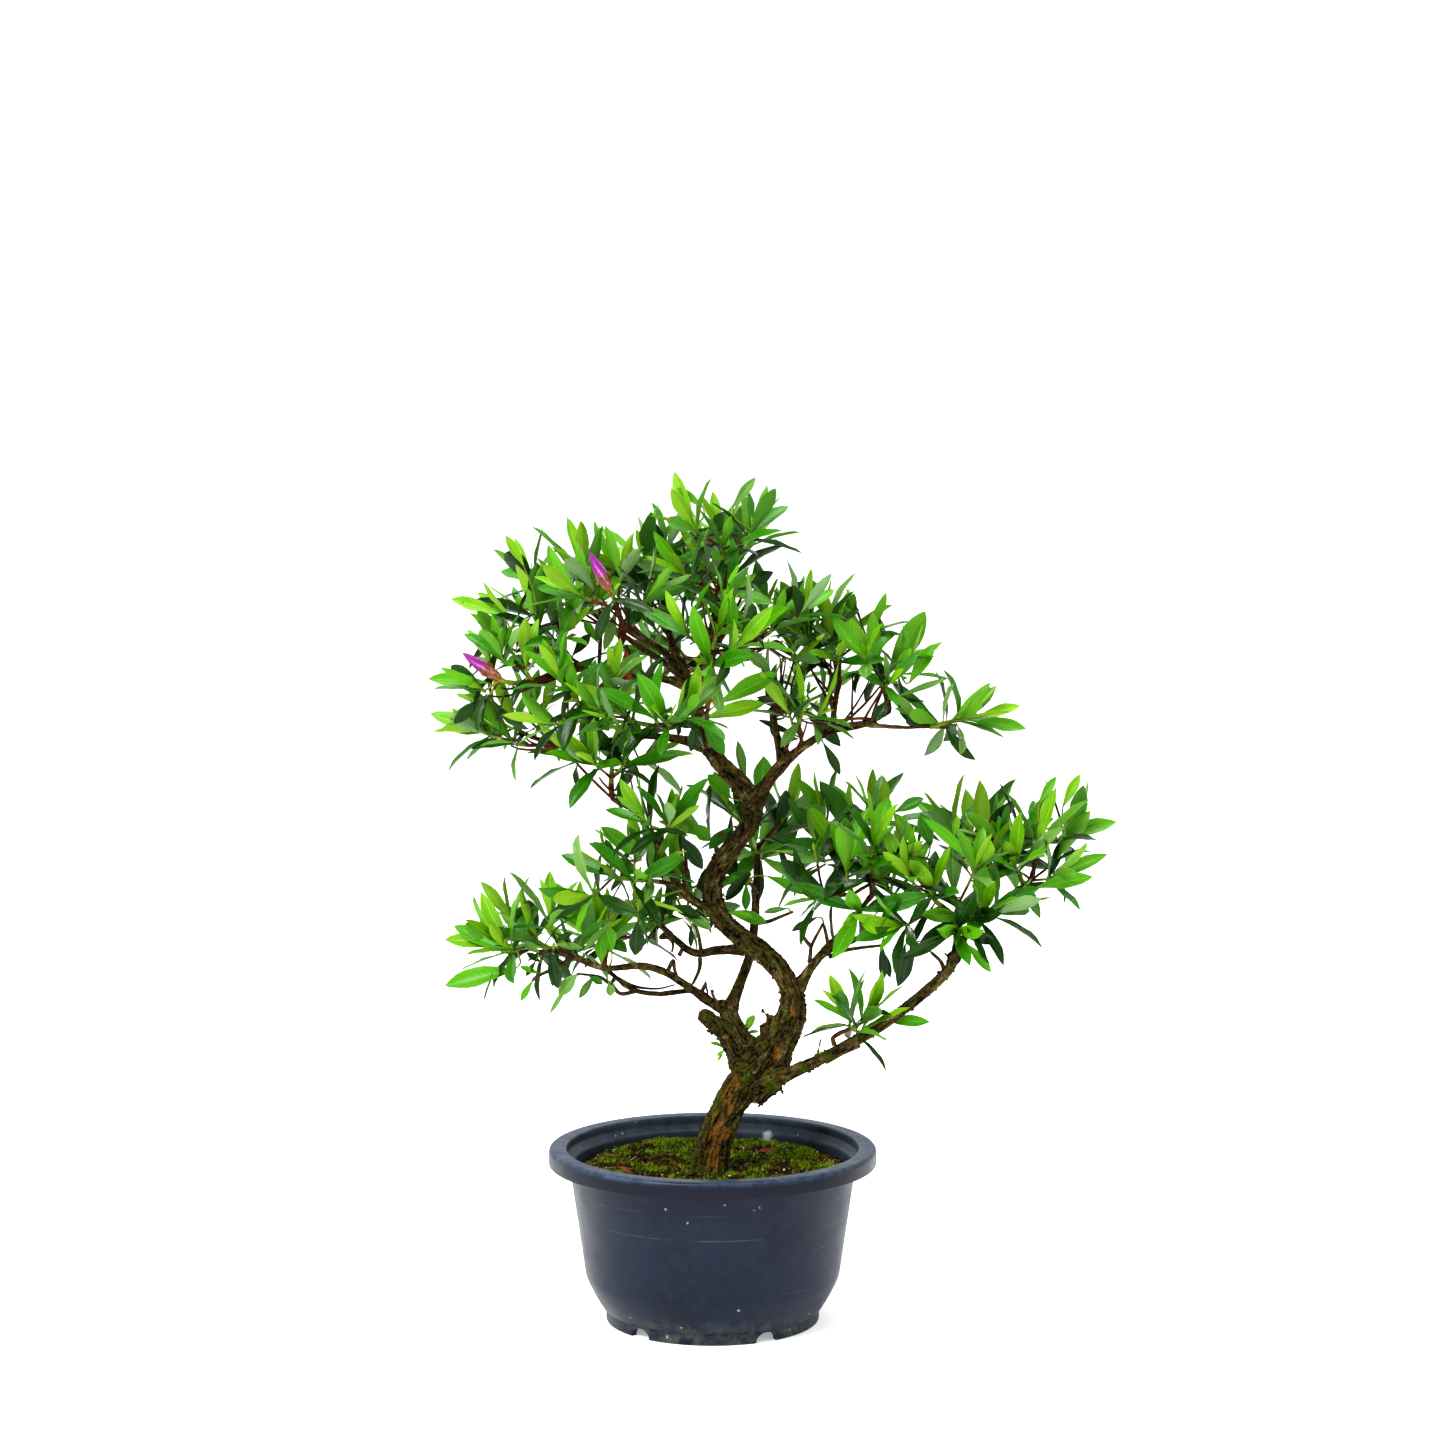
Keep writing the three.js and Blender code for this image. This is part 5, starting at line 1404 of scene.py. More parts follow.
def bark_mesh(name, shapes, names, voxel, depth):
    """One skin round overlapping shapes, furrowed along each limb, with moss, ochre, ridges and the places
    for moss tufts and flakes marked.
    """
    carrier = object_from(name, make_mesh(name, *joined(shapes)))
    skin = carrier.modifiers.new("One skin", "REMESH")
    skin.mode = "VOXEL"
    skin.voxel_size = voxel * MM
    soft = carrier.modifiers.new("Soft joints", "SMOOTH")
    soft.factor = 0.5
    soft.iterations = 4
    mesh = evaluated_mesh(name, carrier)
    places, normals = mesh_places(mesh)
    across, up, along, radius = limb_places(places, names).T
    thick = np.clip(radius / 8, 0.3, 1.15)
    furrow = noise_at(np.stack([across / 1.9, up / 1.9, along / 9], axis=1), 4)
    plate = noise_at(np.stack([across / 3.6 + 40, up / 3.6, along / 13], axis=1), 2)
    fine = noise_at(np.stack([across / 0.8, up / 0.8 + 70, along / 2.2], axis=1), 2)
    steps = np.floor(plate * 5) / 5 + 0.5 * np.clip((plate * 5) % 1 * 3, 0, 1) / 5
    ridge = 0.35 - np.abs(furrow) ** 0.8
    relief = depth * thick * (1.35 * ridge + 1.2 * steps + 0.55 * fine)
    move_places(mesh, places + normals * np.clip(relief, -1.3, 1.5)[:, None])
    height = places[:, 2]
    patch = noise_at(places / 7 + 13, 3)
    damp = np.clip((178 - height) / 40, 0, 1) * 0.5 + np.clip((300 - height) / 200, 0, 1) * 0.2
    shaded = np.clip(-normals[:, 0] * 0.35 + 0.25 * normals[:, 2], -0.3, 0.4) * (height < 128)
    moss = np.clip(damp + 1.5 * patch + shaded - 0.36 - 0.3 * ridge, 0, 1)
    streaks = noise_at(np.stack([across / 2.2, up / 2.2, along / 15 + 50], axis=1), 3)
    ochre = np.clip(2.2 * streaks - 0.95, 0, 0.4) * (radius > 2.6)
    for x, y, z, wide, tall in OCHRE:
        apart = ((places[:, 0] - x) / wide) ** 2 + ((places[:, 1] - y) / 6) ** 2 + ((height - z) / tall) ** 2
        ochre = np.maximum(ochre, np.clip(1.1 - apart + 1.7 * furrow + 1.3 * patch, 0, 1))
    moss *= 1 - 0.9 * np.clip(ochre * 1.4, 0, 1)
    set_attribute(mesh, "moss", moss)
    set_attribute(mesh, "ochre", ochre)
    set_attribute(mesh, "ridge", np.clip(0.5 + ridge + 0.6 * steps, 0, 1))
    set_attribute(mesh, "tufts", np.clip(moss * 1.8 - 0.6, 0, 1) * (height > SOIL_TOP - 1) * (height < 186))
    set_attribute(mesh, "flakes", np.clip(0.4 + patch + ridge, 0, 1) * (radius > 2) * (height > SOIL_TOP))
    return mesh


def bark_material(name, settings, deep, top, mossy):
    # Old azalea bark: thin dull plates over ochre inner bark, furrowed along the limb, with moss and
    # algae where it stays damp
    material, tree, shader = new_material(name, Roughness=0.9, Specular_IOR_Level=0.12)
    place = add_node(tree, "ShaderNodeTexCoord").outputs["Object"]
    marks = {
        key: add_node(tree, "ShaderNodeAttribute", attribute_name=key).outputs["Fac"]
        for key in ("moss", "ochre", "ridge")
    }
    grain = add_node(tree, "ShaderNodeTexNoise", place, 520.0, 5.0, 0.75)
    blotch = add_node(tree, "ShaderNodeTexNoise", place, 130.0, 4.0, 0.6)
    # Painted shade and light: the colour runs from the deep shade in the furrows to the top one on the ridges
    # and plates, over a fine grain
    relief_shade_and_grain = add_node(tree, "ShaderNodeMath", grain, 2.6, -1.45, operation="MULTIPLY_ADD")
    relief_shade_and_grain = add_node(tree, "ShaderNodeMath", relief_shade_and_grain, marks["ridge"], operation="ADD")
    colour = add_node(tree, "ShaderNodeMix", relief_shade_and_grain, linear(deep), linear(top), data_type="RGBA")
    warm = add_node(tree, "ShaderNodeMapRange", blotch, 0.52, 0.7, 0.0, 0.4)
    colour = add_node(tree, "ShaderNodeMix", warm, colour, linear("#4a3a14"), data_type="RGBA")
    # Grey lichen and weathered edges on the plates' crests, partly a painted highlight on the crests
    lichen_and_crest_highlight = add_node(tree, "ShaderNodeMath", grain, marks["ridge"], operation="MULTIPLY")
    lichen_and_crest_highlight = add_node(tree, "ShaderNodeMapRange", lichen_and_crest_highlight, 0.44, 0.6, 0.0, 0.65)
    colour = add_node(tree, "ShaderNodeMix", lichen_and_crest_highlight, colour, linear("#8a8462"), data_type="RGBA")
    inner = add_node(tree, "ShaderNodeMix", grain, linear("#1c0f04"), settings.inner, data_type="RGBA")
    bare = add_node(tree, "ShaderNodeMapRange", marks["ochre"], 0.25, 0.75, 0.0, 0.9)
    colour = add_node(tree, "ShaderNodeMix", bare, colour, inner, data_type="RGBA")
    algae = add_node(tree, "ShaderNodeMix", grain, linear("#0c1202"), linear("#5c6a12"), data_type="RGBA")
    share = add_node(tree, "ShaderNodeMath", marks["moss"], mossy, operation="MULTIPLY")
    colour = add_node(tree, "ShaderNodeMix", share, colour, algae, data_type="RGBA")
    bump = add_node(tree, "ShaderNodeBump", inputs={"Strength": 1.0, "Distance": 0.001, "Height": grain})
    set_inputs(tree, shader, {"Base Color": colour, "Normal": bump})
    return material


class BarkSettings(bpy.types.PropertyGroup):
    relief: bpy.props.FloatProperty(
        name="Relief", description="How deep the trunk's furrows are, in millimetres",
        default=0.95, min=0, max=2,
    )
    inner: bpy.props.FloatVectorProperty(
        name="Inner bark", description="Colour of the inner bark where plates have flaked off",
        subtype="COLOR", default=linear("#a06a28"), min=0, max=1,
    )
    flakes: bpy.props.FloatProperty(
        name="Flakes", description="Loose flakes for each square metre of old bark", default=70000, min=0,
    )
    moss_tufts: bpy.props.FloatProperty(
        name="Moss tufts", description="Tufts of moss for each square metre of damp bark",
        default=420000, min=0,
    )


class MakeBark(bpy.types.Operator):
    """Makes the bark of the trunk and the boughs, and the moss that grows on the trunk's foot"""

    bl_idname = "azalea.bark"
    bl_label = "Trunk and boughs"

    def execute(self, context):
        settings = context.scene.azalea_bark
        knobs = [ball((x, y, z), radius) for x, y, z, radius in KNOBS]
        stubs = []
        for foot, tip, width in STUBS:
            middle = (vector(*foot) + vector(*tip)) / 2
            stubs.append(tube([(*foot, width / 2), (*middle, width * 0.4), (*tip, width * 0.28)], 8))
        boughs = [name for name in LIMBS if name not in TRUNK_LIMBS]
        trunk = bark_mesh(
            "trunk_bark", limb_shapes(TRUNK_LIMBS) + knobs + stubs, TRUNK_LIMBS, TRUNK_GRAIN, settings.relief
        )
        thin = bark_mesh("bough_bark", limb_shapes(boughs), boughs, BOUGH_GRAIN, settings.relief)
        old = bark_material("Old flaking bark", settings, "#060400", "#5e5028", 0.7)
        young = bark_material("Young bough bark", settings, "#0e0a02", "#5e4c26", 0.45)
        moss = plain_natural("Trunk moss", "#101c00", "#56700c", 140, 0.9)
        tufts = scattered(
            "trunk_moss", trunk, moss_tuft(21, 1.3, 6, 0.4), moss, where="tufts",
            per_square_metre=settings.moss_tufts, seed=31, smallest=0.5, largest=1.2, tilt=0.5,
        )
        finish_piece("trunk_bark", trunk, old, TRUNK_LIMBS)
        finish_piece("bough_bark", thin, young, boughs)
        finish_piece("trunk_moss", tufts, moss, ["trunk"])
        # Loose flakes of bark, a millimetre or two long, that stand off the old wood
        loose = plain_natural("Loose bark flakes", "#120c06", "#4c3a20", 260, 0.95)
        flakes = scattered(
            "bark_flakes", trunk, crumb(17, 1.5), loose, where="flakes",
            per_square_metre=settings.flakes, seed=37, smallest=0.35, largest=1.5, tilt=1.2,
        )
        finish_piece("bark_flakes", flakes, loose, ["trunk"])
        return {"FINISHED"}


# Twigs, leaves and flower buds

# About how long the green end of a twig is, in millimetres
GREEN_WOOD = 11
# The thickness of a leaf that stands alone, in millimetres
LONE_THICKNESS = 0.3
# Thin bare twigs inside the foliage, foot to tip
LOOSE_TWIGS = [
    [(61.5, -22, 147), (70, -26.5, 152.6), (79.5, -30.5, 157.5)],
    [(-2.7, -64, 338), (-2.7, -68, 341.5), (-2.7, -71, 344.6), (-13.1, -80.5, 341.4)],
    [(-10, 16, 200), (-14.6, 16, 203.6), (-22.4, 15, 208.7), (-32.3, 14, 219.3)],
    [(-6.4, 13, 202), (-6.9, 12, 206), (-8.1, 11, 212.6), (-10.3, 10, 219)],
    [(-24.9, -3.4, 192.5), (-21.6, -2, 199.3), (-20.6, -4, 194), (-17.8, -5, 189.4), (-10.7, -5, 186.1)],
    [(-7, 14, 198), (-7, 12, 194), (-8.1, 10, 190.2), (-10.9, 8, 184.6)],
    [
        (-53.2, 33.5, 183.2), (-53, 30, 184), (-46, 32, 180), (-39.4, 33, 178), (-30, 34, 177.4),
        (-21, 34, 179.6),
    ],
    [(-7, 11, 176.6), (-5.4, 11, 181), (-3.7, 11, 184.4)],
    [(-39, 24, 204), (-33, 25, 210), (-27.5, 26, 218), (-29.5, 29.9, 216.6)],
    [(-24.9, 25.4, 210.6), (-29, 25, 207.6), (-24.6, 25, 207.4), (-22, 25, 204), (-22.6, 24, 199.6)],
    [(-18.6, 18, 198.6), (-17.4, 18, 201), (-15.8, 18, 204.2)],
    [(52.8, -1, 198), (53.4, -2, 203), (54.2, -2, 208), (60.2, -2, 219.6)],
    [(54.1, -2, 206.5), (51, -1, 210), (48.2, -1, 214.6)],
    [(63.4, 2, 201.6), (62.8, 1, 209), (60.9, 0, 218)],
    [(63.4, 1, 200.6), (71, 1, 204), (81.1, 1, 205.8), (92.4, 2, 206.9)],
    [(125, -24, 197.6), (123, -25, 202.6), (118, -25, 207.4)],
    [(-60.1, -12, 390.8), (-60.4, -12, 374.2), (-61.3, -12, 356.2)],
    [(-47.2, -8, 371.8), (-41.3, -8, 362.6), (-36.2, -6, 354.5), (-33.3, -4, 343.8), (-30.4, -5.1, 354.5)],
    [(-13.1, -4.1, 319.8), (-10.5, -8, 319.7), (-8.2, -26, 327.5), (-5.5, -38, 335.1)],
    [(-17.5, -9.5, 239.9), (-15.5, -8, 242.1), (-16.3, -10, 254.6), (-17.8, -13, 269.2)],
    [(-15.5, -8, 242.1), (-13.9, -8, 242.1), (-14.7, -9, 260.5)],
    [(22.8, 34, 214), (30.3, 14, 218.2), (36.9, 10, 221.4), (44, 6, 224.9)],
    [(91, -10, 334.4), (94, -10, 343), (96.5, -10, 348.5)],
    [(-54.1, 33.6, 184), (-57.2, 34, 180.5), (-62, 12, 187.7), (-67.8, -8, 192.3), (-73, -22, 195.4)],
    [(-76.7, -16, 203.5), (-83, -20, 199.3), (-94.6, -24, 194.3), (-97.2, -24, 191.8)],
    [(-76.7, -16, 203.5), (-81.2, -22, 206.7), (-87, -26, 208.7), (-93.5, -24, 206.5)],
    [(24.6, 38, 230.5), (21.2, 28, 237), (18.3, 16, 238.6)],
    [(-42.7, 30, 176.7), (-50.6, 6, 179.5), (-55.2, -12, 188.6)],
]


def shoot_line(twig):
    """A shoot's twig as a smooth line of places and radii, with small knots where leaves have been."""
    nodes = twig["nodes"]
    corners = [nodes[n]["place"] for n in twig["chain"]]
    loads = [nodes[n]["load"] for n in twig["chain"]]
    if not twig["leading"]:
        loads[0] = loads[1]
    first = 1 if twig["leading"] else 0
    shares = np.linspace(0, 1, 13)
    curve = path(corners[first], twig["start"], twig["tip"], twig["axis"], shares)
    known = np.arange(len(corners) - first) / (len(corners) - first - 1)
    load = np.interp(shares, known, loads[first:])
    if twig["leading"]:
        curve = np.vstack([corners[0], curve])
        load = np.concatenate([[loads[0] * 1.3], load])
    curve = np.vstack([curve, twig["tip"] + twig["axis"] * 1.6])
    load = np.concatenate([load, [0.35]])
    following = random_stream(twig["seed"] + 9)
    radius = TWIG_RADIUS * load**TWIG_GROWTH * np.array([0.9 + 0.25 * following() for _ in load])
    return np.hstack([curve, radius[:, None]])


def single_stalks(wood):
    """A thin bent stalk for each leaf that stands alone, from the nearest wood to the leaf's root."""
    starts = np.vstack([line[:-1, :3] for line in wood])
    runs = np.vstack([np.diff(line[:, :3], axis=0) for line in wood])
    stalks = []
    for root, tip, *_ in LONE_LEAVES + FILLING_LEAVES:
        root = vector(*root)
        share = ((root - starts) * runs).sum(1) / np.maximum((runs**2).sum(1), 1e-9)
        spots = starts + runs * np.clip(share, 0, 1)[:, None]
        gaps = np.linalg.norm(spots - root, axis=1)
        spot, gap = spots[gaps.argmin()], gaps.min()
        if gap > 1:
            middle = 0.6 * (spot + root) / 2 + 0.4 * (root - unit(vector(*tip) - root) * gap / 2)
            stalks.append(centre_line([(*spot, 0.6), (*middle, 0.5), (*root, 0.36)], 4))
    return stalks


def split_line(line, green):
    """A twig's woody part, and its green end of a length."""
    left = np.cumsum(np.linalg.norm(np.diff(line[::-1, :3], axis=0), axis=1))[::-1]
    wood = int((left > green).sum())
    return line[:wood + 1], line[max(0, wood):]


def twig_mesh(name, lines, material):
    """Round tubes along many lines, made in one go."""
    places = np.vstack([line[:, :3] for line in lines])
    edges, first = [], 0
    for line in lines:
        edges += [(first + k, first + k + 1) for k in range(len(line) - 1)]
        first += len(line)
    mesh = bpy.data.meshes.new(name)
    mesh.from_pydata((places * MM).tolist(), edges, [])
    set_attribute(mesh, "thickness", np.concatenate([line[:, 3] for line in lines]) * MM)
    return mesh_from_tree(name, mesh, tube_tree(), {"Sides": 8, "Material": material})


LEAF_ROWS = np.array([0, 0.07, 0.17, 0.29, 0.42, 0.55, 0.68, 0.8, 0.91])
SMALL_ROWS = np.array([0, 0.2, 0.45, 0.7, 0.88])
RING_ACROSS = np.array([-1, -0.5, 0, 0.5, 1, 0.5, 0, -0.5])
RING_SIDE = np.array([0, 1, 1, 1, 0, -1, -1, -1])


def leaf_mesh(name, leaves, rows, thickness):
    """Closed leaves, each a ring of eight points at every row and one at its tip, with both faces mapped."""
    count, ring = len(leaves["age"]), 8
    share = np.concatenate([np.repeat(rows, ring), [1]])
    across = np.concatenate([np.tile(RING_ACROSS, len(rows)), [0]])
    side = np.concatenate([np.tile(RING_SIDE, len(rows)), [0]])
    wave = np.sin(share * 15 + leaves["chance"][:, None] * 40) * across**2 * leaves["width"][:, None] * 0.045
    fold = -0.05 * (1 - np.abs(across)) * leaves["width"][:, None]
    lift = side * thickness / 2 * (1 - 0.6 * share) + wave + fold
    places = on_leaves(leaves, share, across, lift)
    each = places.shape[1]
    faces, corners = [], []
    for k in range(len(rows) - 1):
        for j in range(ring):
            low, after = k * ring, (j + 1) % ring
            faces.append([low + j, low + after, low + ring + after, low + ring + j])
            corners.append([
                (j / 4, rows[k]), ((j + 1) / 4, rows[k]), ((j + 1) / 4, rows[k + 1]), (j / 4, rows[k + 1]),
            ])
    last = (len(rows) - 1) * ring
    for j in range(ring):
        faces.append([last + j, last + (j + 1) % ring, each - 1])
        corners.append([(j / 4, rows[-1]), ((j + 1) / 4, rows[-1]), ((j + 0.5) / 4, 1)])
    faces.append(list(range(ring))[::-1])
    corners.append([(0.5, 0)] * ring)
    if point_outwards(places[0], faces) is not faces:
        faces = [face[::-1] for face in faces]
        corners = [corner[::-1] for corner in corners]
    mesh = bpy.data.meshes.new(name)
    offsets = (np.arange(count) * each)[:, None]
    loops = np.concatenate([np.array(face) for face in faces])
    sizes = np.array([len(face) for face in faces])
    mesh.vertices.add(count * each)
    mesh.vertices.foreach_set("co", (places.reshape(-1, 3) * MM).astype(np.float32).ravel())
    mesh.loops.add(count * len(loops))
    mesh.loops.foreach_set("vertex_index", (loops[None, :] + offsets).ravel().astype(np.int32))
    mesh.polygons.add(count * len(faces))
    starts = np.concatenate([[0], np.cumsum(sizes)[:-1]])
    all_starts = (starts[None, :] + (np.arange(count) * len(loops))[:, None]).ravel()
    mesh.polygons.foreach_set("loop_start", all_starts.astype(np.int32))
    mesh.update(calc_edges=True)
    layer = mesh.uv_layers.new(name="blade")
    flat = np.array([pair for corner in corners for pair in corner], np.float32)
    layer.data.foreach_set("uv", np.tile(flat, (count, 1)).ravel())
    tone = 0.5 + 0.35 * (leaves["chance"] - 0.5) + 0.5 * (leaves["spray"] - 0.5)
    set_attribute(mesh, "tone", np.repeat(np.clip(tone, 0, 1), each))
    mesh.shade_smooth()
    mesh.set_sharp_from_angle(angle=math.radians(75))
    return mesh


def small_leaves(twigs):
    """Three or four leaves just opening in the middle of each whorl."""
    leaves = []
    for twig in twigs:
        if twig["mass"].get("bud") and twig["leading"]:
            continue
        following = random_stream(twig["seed"] + 77)
        axis = twig["axis"]
        ring_at = round_axis(axis, 0.2, 0.3, 0.9)
        spray = random_stream(twig["seed"] + 3)()
        for j in range(3 + int(2 * following())):
            turn = j * GOLDEN_ANGLE + 6.28 * following()
            opening = math.radians(6 + 24 * following())
            along = axis * math.cos(opening) + ring_at(turn) * math.sin(opening)
            face = axis - along * axis.dot(along)
            length = 5 + 7 * following()
            leaves.append({
                "root": twig["tip"] + axis * 1.2, "along": along, "face": unit(face), "length": length,
                "width": length * 0.24, "bend": 0.15 + 0.3 * following(), "age": 0.0,
                "chance": following(), "spray": spray,
            })
    return stack(leaves)


# Young leaves that sprout from the old wood: root, direction, length
SPROUTS = [
    ((6.5, 0, 150.5), (-0.8, -0.3, 0.5), 9), ((6.5, 0, 149), (-0.5, -0.5, -0.2), 6),
    ((5.5, 0, 147), (-0.6, -0.4, -0.6), 5), ((18, 6, 157.5), (0.4, 0.3, 1), 12),
    ((18, 6, 157), (0.9, 0.1, 0.3), 8), ((17.5, 6, 158), (0.1, -0.5, 0.9), 8),
]
# Single leaves on old wood and at the sprays' ends: root, tip and tone
LONE_LEAVES = [
    ((93, -27, 170.6), (117.2, -30, 171), "bright"), ((-112, -14, 211), (-145.5, -14, 213.5), "new"),
    ((-106, -20, 198), (-145.8, -20, 189.3), "bright"), ((189, 0, 267.5), (220, 0, 276.3), "bright"),
    ((174.5, -18, 241.8), (205.2, -20, 248.8), "bright"), ((11, -24, 447), (22.7, -26, 463.1), "dull"),
    ((-120, -38, 354.5), (-150.8, -40, 357.6), "bright"), ((-114, -20, 390), (-139.8, -20, 398.9), "new"),
    ((-114.7, -10, 326), (-146, -10, 329.1), "bright"), ((141, -8, 331), (170, -8, 327.9), "bright"),
    ((143, -8, 333), (166.1, -9, 340.4), "new"), ((91, -25, 212), (92.6, -26, 192.6), "old"),
    ((103.6, -27, 212), (100, -28, 190.1), "old"), ((60, -14, 319.5), (69.3, -15, 302.6), "old"),
    ((137, -24, 212), (150.8, -25, 196.7), "bright"), ((-84, -22, 209), (-86.2, -23, 188.2), "old"),
    ((-5, -24, 447), (-18.8, -26, 457.8), "bright"), ((-101, -20, 416), (-110.2, -21, 432.1), "new"),
    ((178, 4, 285), (187.1, 4, 299.8), "bright"), ((191, 4, 283), (200.1, 4, 301), "new"),
    ((-12, 20, 214.5), (-12, 19, 203), "old"), ((-19.9, -8, 230.5), (0, -10.5, 217.6), "dull"),
    ((7.9, 4, 225), (22.6, 2, 222.6), "bright"), ((57, 8, 221.5), (43, 6, 214.4), "old"),
    ((92.2, 3, 205), (97.6, 2, 188.8), "old"), ((109.4, -20, 212), (100.4, -22, 187.6), "old"),
]
# Leaves that fill the insides of sprays: root, tip, tone and width as a share of the length
FILLING_LEAVES = [
    ((-74.6, -20, 367.8), (-65.3, -22, 379.4), "old", 0.42),
    ((-62.5, -16, 375.2), (-68.7, -18, 386.3), "bright", 0.4),
    ((-51.6, -22, 391.5), (-57.6, -24, 370.3), "dull", 0.26),
    ((-54.6, -14, 367.3), (-59.6, -16, 354.3), "bright", 0.5),
    ((-62.9, -14, 366.2), (-74.2, -18, 358.3), "mature", 0.38),
    ((-37.7, -14, 358.5), (-43.7, -14, 371.1), "mature", 0.34),
    ((-38.3, -12, 353.4), (-45.9, -14, 366.8), "dull", 0.3),
    ((2.9, -37, 343), (34.4, -34, 360.3), "bright", 0.3),
    ((-4.7, -40, 335.6), (28.3, -35, 344.3), "new", 0.27),
    ((-5.3, -38, 333.9), (6.9, -40, 316.2), "mature", 0.38),
    ((-8.3, -40, 334.6), (-11.3, -42, 317.9), "old", 0.4), ((17.8, 12, 296), (13.9, 12, 318.5), "dull", 0.24),
    ((26.1, 16, 283.8), (28.5, 15, 309.5), "bright", 0.46),
    ((10.1, 14, 286.6), (-2.5, 14, 299.9), "bright", 0.5), ((34, -28, 358.6), (30, -28, 343.7), "old", 0.5),
    ((14.6, -24, 373.1), (31.5, -26, 359.9), "dull", 0.34),
    ((46.4, -4, 322.2), (24.8, -6, 332.3), "old", 0.16), ((45.9, -4, 321.2), (37.8, -5, 320.8), "old", 0.5),
    ((47.3, -6, 325.6), (46, -6, 343.8), "bright", 0.24),
    ((-2.2, -30, 349), (-2.5, -31, 366.5), "bright", 0.3),
    ((-26.5, -16, 272), (-34.6, -18, 251.7), "old", 0.42),
    ((-17.9, -14, 269.9), (-4.9, -16, 251.4), "old", 0.36),
    ((10.1, 12, 270.9), (-2.5, 10, 259.2), "mature", 0.4),
    ((-11.3, 10, 273.1), (-1.4, 9, 263.7), "bright", 0.6), ((20.5, 14, 245.2), (6.6, 12, 230.3), "old", 0.34),
    ((18.3, 16, 238.6), (18.3, 15, 224.1), "mature", 0.36),
    ((8.2, 14, 224.1), (30.3, 12, 218.2), "bright", 0.32), ((40.9, 6, 226.8), (27.7, 5, 225), "dull", 0.28),
    ((18.9, 18, 246.6), (6.9, 16, 238.6), "mature", 0.4),
    ((30.1, 2, 245.1), (53.1, 0, 235.9), "bright", 0.28),
    ((-4.9, -8, 223.2), (-21.1, -12, 230.8), "old", 0.38),
    ((-87.4, -26, 208.1), (-83, -28, 188.1), "old", 0.38),
    ((-73, -22, 195.4), (-83.2, -25, 184), "dull", 0.5),
    ((-78.2, -19, 188.7), (-88.3, -22, 173.5), "dull", 0.15),
    ((-64.9, 1, 190.2), (-73, -4, 178.7), "dull", 0.3), ((-56, -12, 189.6), (-55.2, -12, 181.1), "dull", 0.6),
    ((-97.2, -24, 191.6), (-103.8, -26, 181), "bright", 0.3),
    ((-40.3, -26, 224.7), (-41.3, -28, 206), "old", 0.48),
    ((-54.4, -20, 207.1), (-57.5, -20, 221.3), "bright", 0.6),
    ((-60.3, -16, 200.2), (-60.7, -16, 214.5), "bright", 0.48),
    ((-66.7, -12, 192.2), (-59.5, -13, 188.2), "mature", 0.5),
    ((-54.8, -22, 224.1), (-70.2, -24, 207.8), "dull", 0.16),
    ((117.7, -16, 263.8), (112.6, -17, 282.2), "mature", 0.5),
    ((111, -18, 262.4), (98, -19, 282.9), "bright", 0.3),
    ((99, -8, 281.6), (114.2, -10, 289.7), "mature", 0.4),
    ((129.9, -18, 269.1), (132.3, -18, 281.1), "new", 0.34),
    ((129.6, -26, 239), (129.5, -24, 268.6), "dull", 0.33),
    ((123.1, -24, 238.7), (109.4, -25, 260.1), "mature", 0.3),
    ((144, -30, 256.2), (148.9, -29, 269.7), "new", 0.62),
    ((142.7, -30, 255.7), (113, -24, 281.9), "bright", 0.16),
    ((106.2, -10, 352), (119.1, -12, 373.5), "bright", 0.32),
    ((98.6, -12, 356.6), (106.6, -14, 371.2), "bright", 0.36),
    ((99.8, -9, 344.3), (126.9, -9, 355), "dull", 0.13), ((100.5, -8, 343.1), (115, -8, 342.1), "old", 0.14),
    ((99, -10, 342.7), (106.5, -11, 330.9), "old", 0.32),
    ((95.1, -12, 343.2), (86.5, -14, 331.2), "old", 0.45),
    ((-38.5, -20, 258.3), (-59.7, -22, 275.8), "bright", 0.32),
    ((-36.3, -20, 263.3), (-45, -20, 275.2), "mature", 0.28),
    ((-49.6, -18, 256.9), (-42.1, -19, 249.3), "mature", 0.55),
    ((-53.1, -18, 254.7), (-57.5, -19, 268.4), "mature", 0.34),
    ((-93.5, -24, 207.2), (-101.6, -26, 213.3), "dull", 0.45),
    ((-93.1, -22, 201.8), (-100.2, -24, 207.3), "old", 0.4),
    ((-93.7, -22, 195.4), (-103.8, -24, 199.9), "bright", 0.3),
    ((-95.8, -22, 201.8), (-100.8, -23, 194.1), "old", 0.34),
    ((-84.8, -26, 213.6), (-75.2, -28, 218.9), "old", 0.36),
    ((-84.5, -27, 212.4), (-69.6, -28, 210.6), "dull", 0.26),
    ((-57.4, -20, 224.4), (-70.8, -22, 214.8), "mature", 0.32),
]
# Withered leaves that hang on inside the foliage, or lie on the soil: root, direction, length
WITHERED = [
    ((-46.5, -19, 372), (0.05, 0.02, -1), 22), ((-49.5, -16, 388), (0.12, 0, -1), 17),
    ((24, 30, 86), (0.9, 0.3, 0.06), 15), ((-52, -8, 86), (0.6, -0.7, 0.05), 12),
    ((30, 2, 352), (0.1, 0.2, -1), 14),
]


def placed_leaves(rows, width, bend, facing=0.5):
    """Leaves that stand alone, with their upper faces turned up and towards the front."""
    leaves = []
    for k, (root, along, length, *share) in enumerate(rows):
        along = unit(vector(*along))
        face = vector(0, -facing, 1) if abs(along[2]) < 0.9 else vector(0.3, -1, 0)
        leaves.append({
            "root": vector(*root), "along": along, "face": unit(face - along * face.dot(along)),
            "length": float(length), "width": length * (share or [width])[0], "bend": bend, "age": 0.1,
            "chance": (k * 0.37) % 1, "spray": 0.5,
        })
    return stack(leaves)


